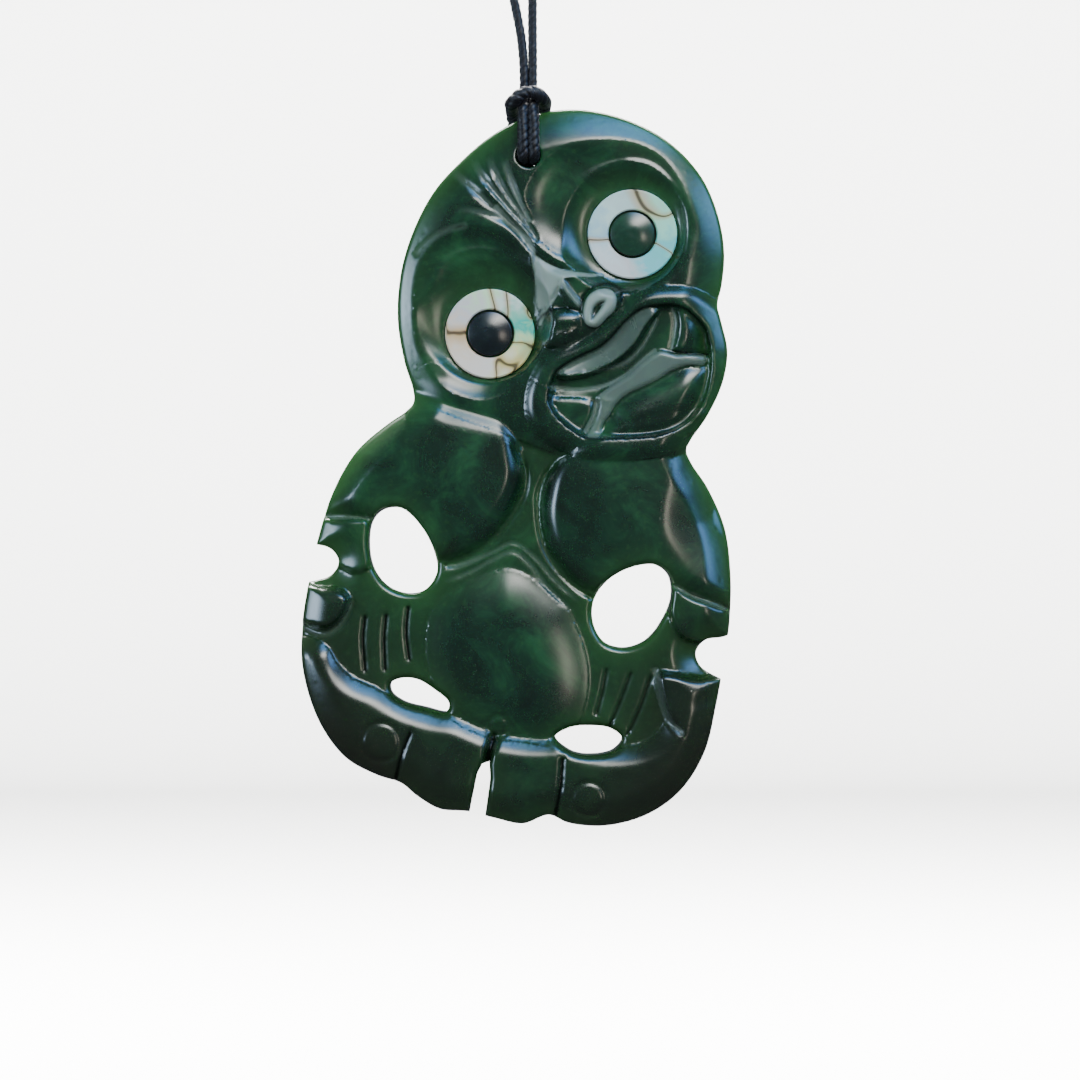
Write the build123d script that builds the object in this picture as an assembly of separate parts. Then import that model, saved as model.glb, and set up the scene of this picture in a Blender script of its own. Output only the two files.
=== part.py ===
from build123d import *
import os
from math import hypot, inf, pi, radians, sqrt, tan

# Greenstone hei tiki pendant on its neck cord, in millimetres.
# X is to the right as seen, Y is away from the viewer and Z is up. The origin is the inside of the
# cord's loop at its top, where the loop hangs on the back of a neck.
# Depths are measured from the stone's flat back towards the viewer.

# Figure
FIGURE_HEIGHT = 80.0
FIGURE_WIDTH = 47.8
STONE_THICK = 8.0
GROUND_DEPTH = 5.0
FRONT_ROUND = 2.2
BACK_ROUND = 1.0
GAP_FLARE = 0.9

# How a rounded edge runs, as (share of its rise, share of its reach): a front edge from its foot
# to its top, and the back edge from the flat back up to the wall
EDGE_SHAPE = [(0.0, 0.0), (0.5, 0.13), (0.86, 0.5), (1.0, 1.0)]
BACK_EDGE_SHAPE = [(0.0, 1.0), (0.3, 0.3), (1.0, 0.0)]

# Relief: the depth of each form's top, and how far its rounded edge reaches in
HEAD_TOP = 7.5
HEAD_REACH = 19.6
SHOULDER_TOP = 6.9
SHOULDER_REACH = 12.6
CHEST_TOP = 7.3
CHEST_EDGE_TOP = 5.9
BELLY_TOP = 7.3
BELLY_ROUND = 5.5
LEG_TOP = 7.7
LEG_ROUND = 1.7
HAND_TOP = 6.8
HAND_ROUND = 1.2
LIP_TOP = 7.5
LIP_ROUND = 1.1
MOUTH_FLOOR = 5.3
TONGUE_TOP = 6.8
TONGUE_ROUND = 1.6
TEETH_TOP = 6.4
TEETH_ROUND = 0.6
NOSE_TOP = 7.4
NOSE_ROUND = 0.8
NOSTRIL_TOP = 7.6
NOSTRIL_WALL = 0.6

# Eyes
EYE_RING_OUTER = 10.0
EYE_RING_INNER = 5.4
EYE_RING_THICK = 1.2
EYE_RING_CHAMFER = 0.15
EYE_RING_PROUD = 0.45
PUPIL_RISE = 0.7
GLUE_LINE = 0.06
SOCKET_FLOOR = 5.1
SOCKET_FLOOR_REACH = 6.2
SOCKET_REACH = 8.3
BROW_DISH_FLOOR = 6.1
BROW_DISH_REACH = 11.6

# Cut lines
GROOVE_WIDTH = 0.7
GROOVE_CUT = 0.9
ROUND_LINE_WIDTH = 0.35
ROUND_LINE_CUT = 0.4

# Cord
CORD_DIAMETER = 1.1
CORD_GAP = 0.14
BORE_CLEARANCE = 0.18
BORE_COUNTERSINK = 0.35
SEAT_CLEARANCE = 0.1
KNOT_DIAMETER = 2.9
KNOT_LENGTH = 5.0
KNOT_CLEARANCE = 0.1
ARC_SHARE = 0.45

# Half the distance between two strands that lie side by side, and how far a strand's middle lies
# from what it lies on, then the hitch's top above the bore and its largest bend radius
SIDE = (CORD_DIAMETER + CORD_GAP) / 2
LIE = CORD_DIAMETER / 2 + SEAT_CLEARANCE
HITCH_TOP = 9.1
HITCH_BEND = 1.8

# The neck loop's route, as (right, away, above the bore): from the hitch up the left side and over
# the top, then down the right side, where the knot is on the second run
LEFT_ROUTE = [
    (-SIDE, -1.0, HITCH_TOP),
    (-SIDE, -1.0, 12.4),
    (-1.75, -0.9, 18.0),
    (-3.6, -0.7, 29.0),
    (-7.3, -0.4, 50.0),
    (-14.4, -0.1, 90.0),
    (-24.0, 0.0, 146.0),
    (-32.9, 0.0, 202.0),
    (-39.4, 0.0, 250.0),
    (-41.8, 0.0, 279.2),
    (-30.6, 0.0, 298.6),
    (-11.2, 0.0, 309.8),
    (11.2, 0.0, 309.8),
    (30.6, 0.0, 298.6),
]
RIGHT_ROUTE = [
    (41.8, 0.0, 279.2),
    (38.6, 0.0, 250.0),
    (31.4, 0.0, 202.0),
    (21.8, 0.0, 146.0),
    (11.6, -0.1, 90.0),
    (4.2, -0.4, 50.0),
    (0.9, -0.7, 28.0),
    (0.42, -0.9, 18.0),
    (SIDE, -1.0, 12.2),
    (SIDE, -1.0, HITCH_TOP),
]
NECK_ROUTE = LEFT_ROUTE + RIGHT_ROUTE
KNOT_ENDS = RIGHT_ROUTE[1:3]

# Where the bore is on the figure, as (across, up) in the tables' shares
BORE = (2.8, 93.4)

# Places on the figure are shares of its size: across is in percent of its width from the middle,
# positive to the right, and up is in percent of its height from the lowest point.
OUTLINE = [
    # (across, up), left side of the head
    (-24.1, 60.6), (-26.3, 65.0), (-27.8, 70.9), (-27.0, 77.3),
    (-24.2, 82.9), (-19.3, 88.5), (-12.5, 93.0), (-5.7, 96.4),
    # crown and right side of the head
    (2.7, 99.0), (13.7, 100.0), (25.6, 98.6), (35.5, 95.5),
    (43.0, 90.8), (47.0, 85.5), (48.6, 80.1), (48.0, 75.4),
    # cheek, then the mouth's bulge and the right side of the neck
    (47.0, 72.6), (47.9, 70.2), (49.3, 66.2), (48.1, 61.7), (44.6, 57.2),
    (40.6, 53.7), (39.7, 52.4), (40.9, 50.6),
    # right arm and leg
    (44.8, 47.1), (48.8, 41.5), (50.1, 35.4), (49.9, 28.7), (48.7, 23.8),
    (46.7, 16.9), (43.9, 10.2), (38.3, 4.9), (30.3, 1.5), (20.7, 0.0), (12.1, 0.4),
    # feet
    (7.6, 1.5), (1.5, 0.3), (-5.3, 1.1), (-11.6, 2.3), (-17.9, 2.9), (-23.3, 4.6), (-26.8, 5.9),
    # left leg and arm, up to the left side of the neck
    (-32.7, 7.1), (-39.9, 9.5), (-46.0, 14.4), (-49.8, 21.4), (-50.2, 27.3), (-48.6, 34.0),
    (-46.5, 39.9), (-42.7, 46.9), (-37.4, 52.3), (-30.1, 56.1), (-25.9, 57.8), (-24.1, 59.0),
]

# Middles of the round forms, as (across, up)
HEAD_MIDDLE = (10.4, 79.3)
RIGHT_EYE = (27.1, 82.5)
LEFT_EYE = (-6.2, 68.6)
RIGHT_SOCKET = (25.6, 83.5)
LEFT_SOCKET = (-7.6, 70.1)
LEFT_CHEST = (-14.4, 46.9)
RIGHT_CHEST = (23.1, 43.4)
LEFT_SHOULDER = (-28.5, 46.5)
RIGHT_SHOULDER = (35.0, 41.5)
LEFT_CHEST_REACH = 7.7
RIGHT_CHEST_REACH = 8.5

# Outlines of the raised and sunk forms, as (across, up)
LIP_OUTER = [
    (6.9, 64.8), (13.0, 67.7), (20.0, 70.3), (26.1, 73.3), (32.7, 74.5), (40.6, 74.4), (52.3, 71.7),
    (54.2, 59.4), (43.0, 53.0), (31.3, 51.0), (19.6, 51.0), (11.6, 52.2), (5.7, 55.9), (4.1, 60.3),
]
LIP_INNER = [
    (8.8, 62.5), (14.9, 65.3), (21.9, 67.6), (27.5, 70.9), (33.6, 72.6), (40.6, 71.6), (44.4, 68.5),
    (45.6, 63.4), (42.5, 57.8), (36.9, 54.7), (28.5, 53.7), (18.6, 54.1), (11.1, 56.6), (7.8, 59.7),
]
TONGUE = [
    (22.4, 54.7), (24.7, 58.3), (31.7, 61.4), (40.2, 64.8), (44.4, 64.2), (44.4, 60.8),
    (41.1, 57.2), (35.9, 55.2), (28.9, 54.3),
]
TEETH = [
    (11.1, 62.8), (17.7, 65.0), (23.8, 67.6), (28.9, 70.9), (32.7, 72.0), (32.2, 69.5),
    (28.0, 66.4), (20.5, 63.6), (14.4, 62.2),
]
NOSE = [
    (4.6, 78.7), (6.9, 79.9), (9.3, 78.7), (11.6, 75.4), (15.3, 72.6), (13.9, 70.9),
    (10.7, 71.7), (7.4, 73.4),
]
BELLY = [
    (-2.2, 36.2), (9.3, 32.9), (15.8, 27.3), (16.3, 21.4), (10.2, 15.8), (1.8, 13.0),
    (-7.1, 13.3), (-16.0, 16.1), (-20.7, 21.4), (-20.3, 27.8), (-12.8, 33.1),
]
LEFT_HAND = [
    (-40.9, 32.9), (-33.8, 33.7), (-24.9, 31.5), (-21.7, 29.8), (-22.6, 23.1), (-28.2, 20.8),
    (-37.6, 20.8), (-40.9, 24.5),
]
RIGHT_HAND = [
    (22.4, 24.8), (31.3, 24.5), (37.4, 23.1), (35.5, 17.5), (31.3, 11.9), (25.2, 14.4),
    (18.6, 14.4), (19.6, 18.9),
]
LEGS = [
    (-53.0, 32.0), (-42.3, 32.0), (-41.8, 24.5), (-41.0, 20.5), (-38.1, 17.3), (-31.0, 15.5),
    (-16.0, 14.8), (-9.0, 12.0), (-4.8, 10.2), (5.3, 9.5), (10.9, 8.5), (20.5, 7.4),
    (28.9, 8.0), (34.5, 10.2), (37.4, 14.1), (37.0, 18.9), (40.5, 22.0), (53.0, 22.0),
    (58.0, 9.1), (43.0, -4.0), (19.6, -7.0), (-8.5, -6.0), (-34.0, -2.0), (-53.0, 7.0),
    (-58.0, 20.3),
]
GAPS = {
    "left arm": [
        (-31.0, 44.2), (-26.8, 44.3), (-22.6, 42.1), (-19.3, 38.5), (-18.6, 35.4), (-21.2, 33.0),
        (-25.4, 32.4), (-30.1, 33.4), (-33.4, 35.9), (-34.5, 39.6), (-33.6, 42.7),
    ],
    "right arm": [
        (32.4, 36.4), (35.5, 35.0), (36.2, 32.0), (34.1, 28.7), (30.3, 25.9), (25.2, 24.8),
        (20.5, 25.6), (17.9, 28.4), (18.1, 31.5), (21.4, 34.3), (27.0, 36.1),
    ],
    "left leg": [
        (-29.4, 19.9), (-26.8, 20.6), (-23.1, 20.4), (-18.9, 18.9), (-15.8, 17.2),
        (-16.3, 15.9), (-20.7, 16.4), (-26.3, 17.3), (-29.2, 18.6),
    ],
    "right leg": [
        (9.0, 12.4), (12.5, 13.7), (17.2, 14.0), (21.9, 13.6), (24.7, 12.2), (22.8, 10.6),
        (18.1, 9.9), (13.0, 10.3),
    ],
}
NOTCHES = {
    "left": [
        (-54.0, 38.9), (-46.5, 39.2), (-43.2, 38.5), (-41.6, 36.9), (-43.2, 35.1), (-46.5, 34.3),
        (-54.0, 34.0), (-58.0, 36.5),
    ],
    "right": [
        (54.0, 27.3), (48.1, 26.3), (44.2, 25.9), (42.0, 24.2), (43.0, 22.3), (48.1, 20.4),
        (54.0, 19.4), (58.0, 23.5),
    ],
}
FOOT_SLIT = [(-9.9, 7.4), (-8.4, 9.0), (-6.2, 9.1), (-6.0, 6.6), (-7.6, -2.0), (-13.0, -2.0)]

# Straight cut lines: from (across, up) to (across, up), and the depth of the surface there as a
# share of the stone's thickness
CUT_LINES = {
    "brow wrinkle 1": ((-0.5, 83.8), (-13.9, 91.2), 0.81),
    "brow wrinkle 2": ((-0.2, 84.2), (-8.5, 93.0), 0.81),
    "brow wrinkle 3": ((0.3, 84.6), (-5.5, 92.8), 0.83),
    "brow wrinkle 4": ((0.8, 85.0), (-2.0, 91.6), 0.85),
    "brow wrinkle 5": ((-1.0, 83.2), (-16.3, 85.7), 0.81),
    "right brow": ((1.8, 83.8), (10.2, 79.3), 0.88),
    "left brow": ((5.0, 80.0), (3.6, 72.5), 0.86),
    "left rib 1": ((0.6, 39.7), (-17.4, 36.2), 0.63),
    "left rib 2": ((0.6, 38.2), (-17.9, 34.4), 0.63),
    "right rib 1": ((0.6, 39.7), (14.2, 31.2), 0.63),
    "right rib 2": ((0.6, 38.2), (12.1, 30.3), 0.63),
    "left finger 1": ((-35.9, 29.5), (-35.9, 21.5), 0.84),
    "left finger 2": ((-30.3, 30.3), (-30.3, 20.5), 0.84),
    "left finger 3": ((-25.6, 30.3), (-25.4, 22.0), 0.84),
    "right finger 1": ((24.7, 23.1), (20.5, 15.2), 0.84),
    "right finger 2": ((28.9, 22.0), (23.8, 14.1), 0.84),
    "right finger 3": ((32.7, 20.3), (27.5, 12.7), 0.84),
    "left foot": ((-25.6, 14.5), (-28.0, 2.0), 0.95),
    "right foot": ((10.6, 9.8), (8.3, -2.0), 0.95),
    "between feet": ((-5.9, 11.5), (-7.6, 7.5), 0.80),
}
# Incised rings: middle, radius in percent of the figure's width, and the surface's depth as above
ROUND_LINES = {
    "left ankle": ((-31.7, 11.7), 4.4, 0.96),
    "right ankle": ((17.0, 3.9), 4.2, 0.96),
    "navel": ((-4.1, 13.8), 2.3, 0.65),
}
# Raised nostril rings: middle, and radius in percent of the figure's width
NOSTRILS = {
    "left": ((11.6, 69.8), 4.4),
    "right": ((20.0, 72.6), 4.0),
}
# Two corners of the block that the ground is cut from, well outside the figure
GROUND_CORNERS = ((-75.0, -20.0), (75.0, 120.0))

# Worked-out sizes
BORE_DIAMETER = 2 * CORD_DIAMETER + CORD_GAP + 2 * BORE_CLEARANCE
LOOP_TOP = max(point[2] for point in NECK_ROUTE)
BORE_Z = CORD_DIAMETER / 2 - LOOP_TOP
RING_FRONT = SOCKET_FLOOR + EYE_RING_PROUD
RING_BACK = RING_FRONT - EYE_RING_THICK
RING_SEAT_DEPTH = RING_BACK - GLUE_LINE
RING_SEAT_RADIUS = EYE_RING_OUTER / 2 + GLUE_LINE
PUPIL_RADIUS = EYE_RING_INNER / 2 - GLUE_LINE
BEYOND = 2 * STONE_THICK


def dome_radius(reach, rise):
    """The radius of a ball whose cap has this reach and rise."""
    return (reach**2 + rise**2) / (2 * rise)


def bore_front():
    """The depth of the head's front at the bore."""
    radius = dome_radius(HEAD_REACH, HEAD_TOP - GROUND_DEPTH)
    across = (BORE[0] - HEAD_MIDDLE[0]) / 100 * FIGURE_WIDTH
    up = (BORE[1] - HEAD_MIDDLE[1]) / 100 * FIGURE_HEIGHT
    return HEAD_TOP - radius + sqrt(radius**2 - across**2 - up**2)


def spot(place):
    """The (x, z) of a place on the figure that a table gives in shares."""
    across, up = place
    x = (across - BORE[0]) / 100 * FIGURE_WIDTH
    z = BORE_Z + (up - BORE[1]) / 100 * FIGURE_HEIGHT
    return x, z


def of_width(share):
    """The length of a percentage of the figure's width."""
    return share / 100 * FIGURE_WIDTH


def main_solid(shape):
    """The largest solid of what a cut, a join or an overlap leaves."""
    return max(shape.solids(), key=lambda solid: solid.volume)


def away(depth):
    """The Y of a depth above the stone's flat back."""
    return STONE_THICK / 2 - depth


def moved_in(points, inset):
    """A closed outline's points, each moved towards the inside by the inset."""
    count = len(points)
    area = sum(
        points[i - 1][0] * points[i][1] - points[i][0] * points[i - 1][1] for i in range(count)
    )
    turn = 1 if area > 0 else -1
    moved = []
    for i in range(count):
        x, z = points[i]
        before = points[i - 1]
        after = points[(i + 1) % count]
        first = hypot(x - before[0], z - before[1])
        second = hypot(after[0] - x, after[1] - z)
        along_x = (x - before[0]) / first * second + (after[0] - x) / second * first
        along_z = (z - before[1]) / first * second + (after[1] - z) / second * first
        length = hypot(along_x, along_z)
        moved.append((x - turn * inset * along_z / length, z + turn * inset * along_x / length))
    return moved


def outline_wire(table, depth, inset):
    """A closed smooth outline at one depth."""
    points = moved_in([spot(place) for place in table], inset)
    return Wire([Spline(*[(x, away(depth), z) for x, z in points], periodic=True)])


def form(table, sections):
    """A solid through a few copies of one outline, each at its depth and inset."""
    return Solid.make_loft([outline_wire(table, depth, inset) for depth, inset in sections], ruled=True)


def edge_sections(foot, rise, reach):
    """The (depth, inset) steps of a rounded front edge from its foot to its top."""
    return [(foot + up * rise, inward * reach) for up, inward in EDGE_SHAPE]


def rounded_form(table, top, reach, rise):
    """A raised form that stands in the ground and whose edge is rounded towards its top."""
    return form(table, [(GROUND_DEPTH / 2, 0)] + edge_sections(top - rise, rise, reach))


def disc(middle, radius, low, high):
    """A cylinder across the stone, from one depth to another."""
    x, z = spot(middle)
    plane = Plane(origin=(x, away(low), z), x_dir=(1, 0, 0), z_dir=(0, -1, 0))
    return Solid.make_cylinder(radius, high - low, plane)


def ball(middle, reach, top, edge_top):
    """A ball whose surface is at one depth in its middle and at another at its reach."""
    radius = dome_radius(reach, top - edge_top)
    x, z = spot(middle)
    return Solid.make_sphere(radius, Plane((x, away(top - radius), z)))


def turned(middle, profile):
    """A solid turned about the line across the stone, from (radius, depth) pairs."""
    x, z = spot(middle)
    points = [(x + radius, away(depth), z) for radius, depth in profile]
    face = Face(Wire.make_polygon(points, close=True))
    return Solid.revolve(face, 360, Axis((x, 0, z), (0, 1, 0)))


def wedge(start, end, surface):
    """A narrow cutter with a sharp bottom, along a straight cut line."""
    x1, z1 = spot(start)
    x2, z2 = spot(end)
    length = hypot(x2 - x1, z2 - z1)
    floor = surface - GROOVE_CUT
    half_width = GROOVE_WIDTH / 2 * (STONE_THICK - floor) / GROOVE_CUT
    side_x = (z1 - z2) / length * half_width
    side_z = (x2 - x1) / length * half_width
    corners = [
        (x1, away(floor), z1),
        (x1 + side_x, away(STONE_THICK), z1 + side_z),
        (x1 - side_x, away(STONE_THICK), z1 - side_z),
    ]
    face = Face(Wire.make_polygon(corners, close=True))
    return Solid.extrude(face, Vector(x2 - x1, 0, z2 - z1))


def figure_blank():
    """The stone's outline with its edges rounded, before any carving."""
    back_edge = [(up * BACK_ROUND, inward * BACK_ROUND) for up, inward in BACK_EDGE_SHAPE]
    front_edge = edge_sections(STONE_THICK - FRONT_ROUND, FRONT_ROUND, FRONT_ROUND)
    return form(OUTLINE, back_edge + front_edge)


def carved_head():
    """The head's dome with the brow dish and the socket bowl of each eye cut into it."""
    over = STONE_THICK + FRONT_ROUND
    dish = [(0, BROW_DISH_FLOOR), (SOCKET_REACH, BROW_DISH_FLOOR), (BROW_DISH_REACH, HEAD_TOP)]
    dish += [(BROW_DISH_REACH, over), (0, over)]
    bowl = [(0, SOCKET_FLOOR), (SOCKET_FLOOR_REACH, SOCKET_FLOOR), (SOCKET_REACH, BROW_DISH_FLOOR)]
    bowl += [(SOCKET_REACH, over), (0, over)]
    cutters = []
    for socket in (RIGHT_SOCKET, LEFT_SOCKET):
        cutters += [turned(socket, dish), turned(socket, bowl)]
    head = ball(HEAD_MIDDLE, HEAD_REACH, HEAD_TOP, GROUND_DEPTH)
    return main_solid(head.cut(*cutters))


def capped_post(middle, radius, top, edge_top):
    """A round post that stands in the ground and has a domed top."""
    post = disc(middle, radius, GROUND_DEPTH / 2, BEYOND)
    return main_solid(post.intersect(ball(middle, radius, top, edge_top)))


def ground_block():
    """The level that the front is carved down to, larger than the figure all round."""
    left, low = spot(GROUND_CORNERS[0])
    right, high = spot(GROUND_CORNERS[1])
    corner = Plane((left, away(GROUND_DEPTH), low))
    return Solid.make_box(right - left, GROUND_DEPTH + STONE_THICK, high - low, corner)


def raised_front():
    """The ground with every raised form of the front standing in it."""
    forms = [
        carved_head(),
        ball(LEFT_SHOULDER, SHOULDER_REACH, SHOULDER_TOP, GROUND_DEPTH),
        ball(RIGHT_SHOULDER, SHOULDER_REACH, SHOULDER_TOP, GROUND_DEPTH),
        capped_post(LEFT_CHEST, LEFT_CHEST_REACH, CHEST_TOP, CHEST_EDGE_TOP),
        capped_post(RIGHT_CHEST, RIGHT_CHEST_REACH, CHEST_TOP, CHEST_EDGE_TOP),
        capped_post(RIGHT_EYE, PUPIL_RADIUS, RING_FRONT + PUPIL_RISE, RING_FRONT),
        capped_post(LEFT_EYE, PUPIL_RADIUS, RING_FRONT + PUPIL_RISE, RING_FRONT),
        rounded_form(BELLY, BELLY_TOP, BELLY_ROUND, BELLY_TOP - GROUND_DEPTH),
        rounded_form(LEGS, LEG_TOP, LEG_ROUND, LEG_ROUND),
        rounded_form(LEFT_HAND, HAND_TOP, HAND_ROUND, HAND_ROUND),
        rounded_form(RIGHT_HAND, HAND_TOP, HAND_ROUND, HAND_ROUND),
        rounded_form(LIP_OUTER, LIP_TOP, LIP_ROUND, LIP_ROUND),
        rounded_form(NOSE, NOSE_TOP, NOSE_ROUND, NOSE_ROUND),
    ]
    for middle, share in NOSTRILS.values():
        forms.append(disc(middle, of_width(share), GROUND_DEPTH / 2, NOSTRIL_TOP))
    return ground_block().fuse(*forms)


def mouth_cutter():
    """The open mouth, less the tongue and the row of teeth that stand in it."""
    sections = [(MOUTH_FLOOR, 0), (LIP_TOP, -LIP_ROUND / 2), (BEYOND, -LIP_ROUND)]
    tongue = rounded_form(TONGUE, TONGUE_TOP, TONGUE_ROUND, TONGUE_ROUND)
    teeth = rounded_form(TEETH, TEETH_TOP, TEETH_ROUND, TEETH_ROUND)
    return main_solid(form(LIP_INNER, sections).cut(tongue, teeth))


def ring_cutter(middle, outer, inner, floor):
    """A round groove of any width, from its floor out to the front."""
    return main_solid(disc(middle, outer, floor, BEYOND).cut(disc(middle, inner, 0, 2 * BEYOND)))


def bore_cutter():
    """The cord's bore, countersunk at both faces."""
    radius = BORE_DIAMETER / 2
    mouth = radius + BORE_COUNTERSINK
    profile = [(0, -BEYOND), (mouth, -BEYOND), (mouth, 0), (radius, BORE_COUNTERSINK)]
    profile += [(radius, bore_front() - BORE_COUNTERSINK), (mouth, bore_front())]
    profile += [(mouth, BEYOND), (0, BEYOND)]
    return turned(BORE, profile)


def front_cutters():
    """Every cut of the front and every opening through the stone."""
    cutters = [mouth_cutter(), bore_cutter()]
    for eye in (RIGHT_EYE, LEFT_EYE):
        cutters.append(ring_cutter(eye, RING_SEAT_RADIUS, PUPIL_RADIUS, RING_SEAT_DEPTH))
    for middle, share in NOSTRILS.values():
        inner = of_width(share) - NOSTRIL_WALL
        cutters.append(disc(middle, inner, NOSTRIL_TOP - GROOVE_CUT, BEYOND))
    for middle, share, surface in ROUND_LINES.values():
        outer = of_width(share) + ROUND_LINE_WIDTH / 2
        floor = surface * STONE_THICK - ROUND_LINE_CUT
        cutters.append(ring_cutter(middle, outer, outer - ROUND_LINE_WIDTH, floor))
    for start, end, surface in CUT_LINES.values():
        cutters.append(wedge(start, end, surface * STONE_THICK))
    for outline in GAPS.values():
        flare_start = GROUND_DEPTH - GAP_FLARE
        cutters.append(form(outline, [(-BACK_ROUND, 0), (flare_start, 0), (BEYOND, -GAP_FLARE)]))
    for outline in NOTCHES.values():
        cutters.append(form(outline, [(-BACK_ROUND, 0), (BEYOND, 0)]))
    slit = [(x, away(-BACK_ROUND), z) for x, z in (spot(place) for place in FOOT_SLIT)]
    slit_face = Face(Wire.make_polygon(slit, close=True))
    cutters.append(Solid.extrude(slit_face, Vector(0, -BEYOND, 0)))
    return cutters


def make_figure():
    """The carved stone."""
    figure = main_solid(figure_blank().intersect(raised_front()))
    return main_solid(figure.cut(*front_cutters()))


def make_eye_ring(eye):
    """One flat shell ring with its sharp edges eased, in its seat round the pupil."""
    outer, inner = EYE_RING_OUTER / 2, EYE_RING_INNER / 2
    ease = EYE_RING_CHAMFER
    profile = [(inner, RING_BACK), (outer, RING_BACK), (outer, RING_FRONT - ease)]
    profile += [(outer - ease, RING_FRONT), (inner + ease, RING_FRONT), (inner, RING_FRONT - ease)]
    return turned(eye, profile)


def route_radii(points, largest):
    """The bend radius at each corner of a route: what the runs beside it allow, up to the largest."""
    radii = []
    for i in range(1, len(points) - 1):
        before = Vector(*points[i]) - Vector(*points[i - 1])
        after = Vector(*points[i + 1]) - Vector(*points[i])
        half_turn = radians(before.get_angle(after) / 2)
        allowed = ARC_SHARE * min(before.length, after.length) / tan(half_turn)
        radii.append(min(allowed, largest))
    return radii


def cord_path(points, radii):
    """Straight runs joined by tangent arcs through a route."""
    edges = []
    at = Vector(*points[0])
    for i, radius in enumerate(radii, start=1):
        corner = Vector(*points[i])
        before = (corner - Vector(*points[i - 1])).normalized()
        after = (Vector(*points[i + 1]) - corner).normalized()
        half_turn = radians(before.get_angle(after) / 2)
        start = corner - before * radius * tan(half_turn)
        end = corner + after * radius * tan(half_turn)
        edges.append(Edge.make_line(at, start))
        edges.append(Edge.make_tangent_arc(start, before, end))
        at = end
    edges.append(Edge.make_line(at, Vector(*points[-1])))
    return Wire(edges)


def cord_tube(name, points, largest_bend):
    """A plain round cord along a route, whose radii and length are printed."""
    radii = route_radii(points, largest_bend)
    path = cord_path(points, radii)
    face = Face(Wire.make_circle(CORD_DIAMETER / 2, Plane(path @ 0, z_dir=path % 0)))
    tube = Solid.sweep(face, path)
    swept = path.length * pi * CORD_DIAMETER**2 / 4
    print(name, "radii", [round(radius, 1) for radius in radii])
    print(name, "length", round(path.length, 1), "volume share", round(tube.volume / swept, 4))
    return tube


def hitch_route():
    """The hitch's points as (right, away, above the bore): down the front from the loop's left end,
    through the bore, up the back, across the front as the bight, and back the same way."""
    front = away(bore_front()) - LIE
    back = STONE_THICK / 2 + LIE
    bight = front + 0.4
    return [
        (-SIDE, -1.0, HITCH_TOP),
        (-SIDE, -1.0, 7.2),
        (-SIDE, front + 0.35, 4.2),
        (-SIDE, front, 0.0),
        (-SIDE, back, 0.0),
        (-1.1, back, 4.6),
        (-2.05, 1.0, 6.8),
        (-2.05, bight, 6.95),
        (2.1, bight, 7.05),
        (2.1, 1.0, 7.2),
        (1.1, back, 5.2),
        (SIDE, back, 0.0),
        (SIDE, front, 0.0),
        (SIDE, front + 0.35, 4.2),
        (SIDE, -1.0, 7.2),
        (SIDE, -1.0, HITCH_TOP),
    ]


def from_bore(route):
    """A route's points in the part's frame."""
    return [(x, y, z + BORE_Z) for x, y, z in route]


def make_knot():
    """The plain barrel that closes the cord, round the middle of one straight run."""
    start, end = from_bore(KNOT_ENDS)
    middle = (Vector(*start) + Vector(*end)) / 2
    along = Plane(middle, z_dir=Vector(*end) - Vector(*start))
    hole = CORD_DIAMETER / 2 + KNOT_CLEARANCE
    half = KNOT_LENGTH / 2
    shoulder = (hole + KNOT_DIAMETER / 2) / 2
    low_out, high_out = (shoulder, 0, -half), (shoulder, 0, half)
    low_in, high_in = (hole, 0, -half), (hole, 0, half)
    barrel = Wire(
        [
            Edge.make_line(high_in, low_in),
            Edge.make_line(low_in, low_out),
            Edge.make_three_point_arc(low_out, (KNOT_DIAMETER / 2, 0, 0), high_out),
            Edge.make_line(high_out, high_in),
        ]
    )
    return along.location * Solid.revolve(Face(barrel), 360, Axis.Z)


def main():
    """Build every piece, print what each measures and write it."""
    pieces = {
        "greenstone_figure": make_figure(),
        "left_eye_ring": make_eye_ring(LEFT_EYE),
        "right_eye_ring": make_eye_ring(RIGHT_EYE),
        "cord_hitch": cord_tube("cord_hitch", from_bore(hitch_route()), HITCH_BEND),
        "neck_cord": cord_tube("neck_cord", from_bore(NECK_ROUTE), inf),
        "closing_knot": make_knot(),
    }
    os.makedirs("parts", exist_ok=True)
    for name, piece in pieces.items():
        print(name, round(piece.volume, 2), "mm3")
        export_step(piece, f"parts/{name}.step")


main()
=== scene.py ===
"""The greenstone hei tiki pendant: a carved nephrite figure with inlaid shell eye rings, hung by a
lark's head hitch on a loop of twisted waxed cord. Blender works in metres; the carving is set out in
millimetres and brought to metres when its mesh is made."""
import logging
import math
from dataclasses import dataclass
from enum import Enum

import bmesh
import bpy
import numpy as np
from mathutils import Matrix, Vector, geometry, kdtree


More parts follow.
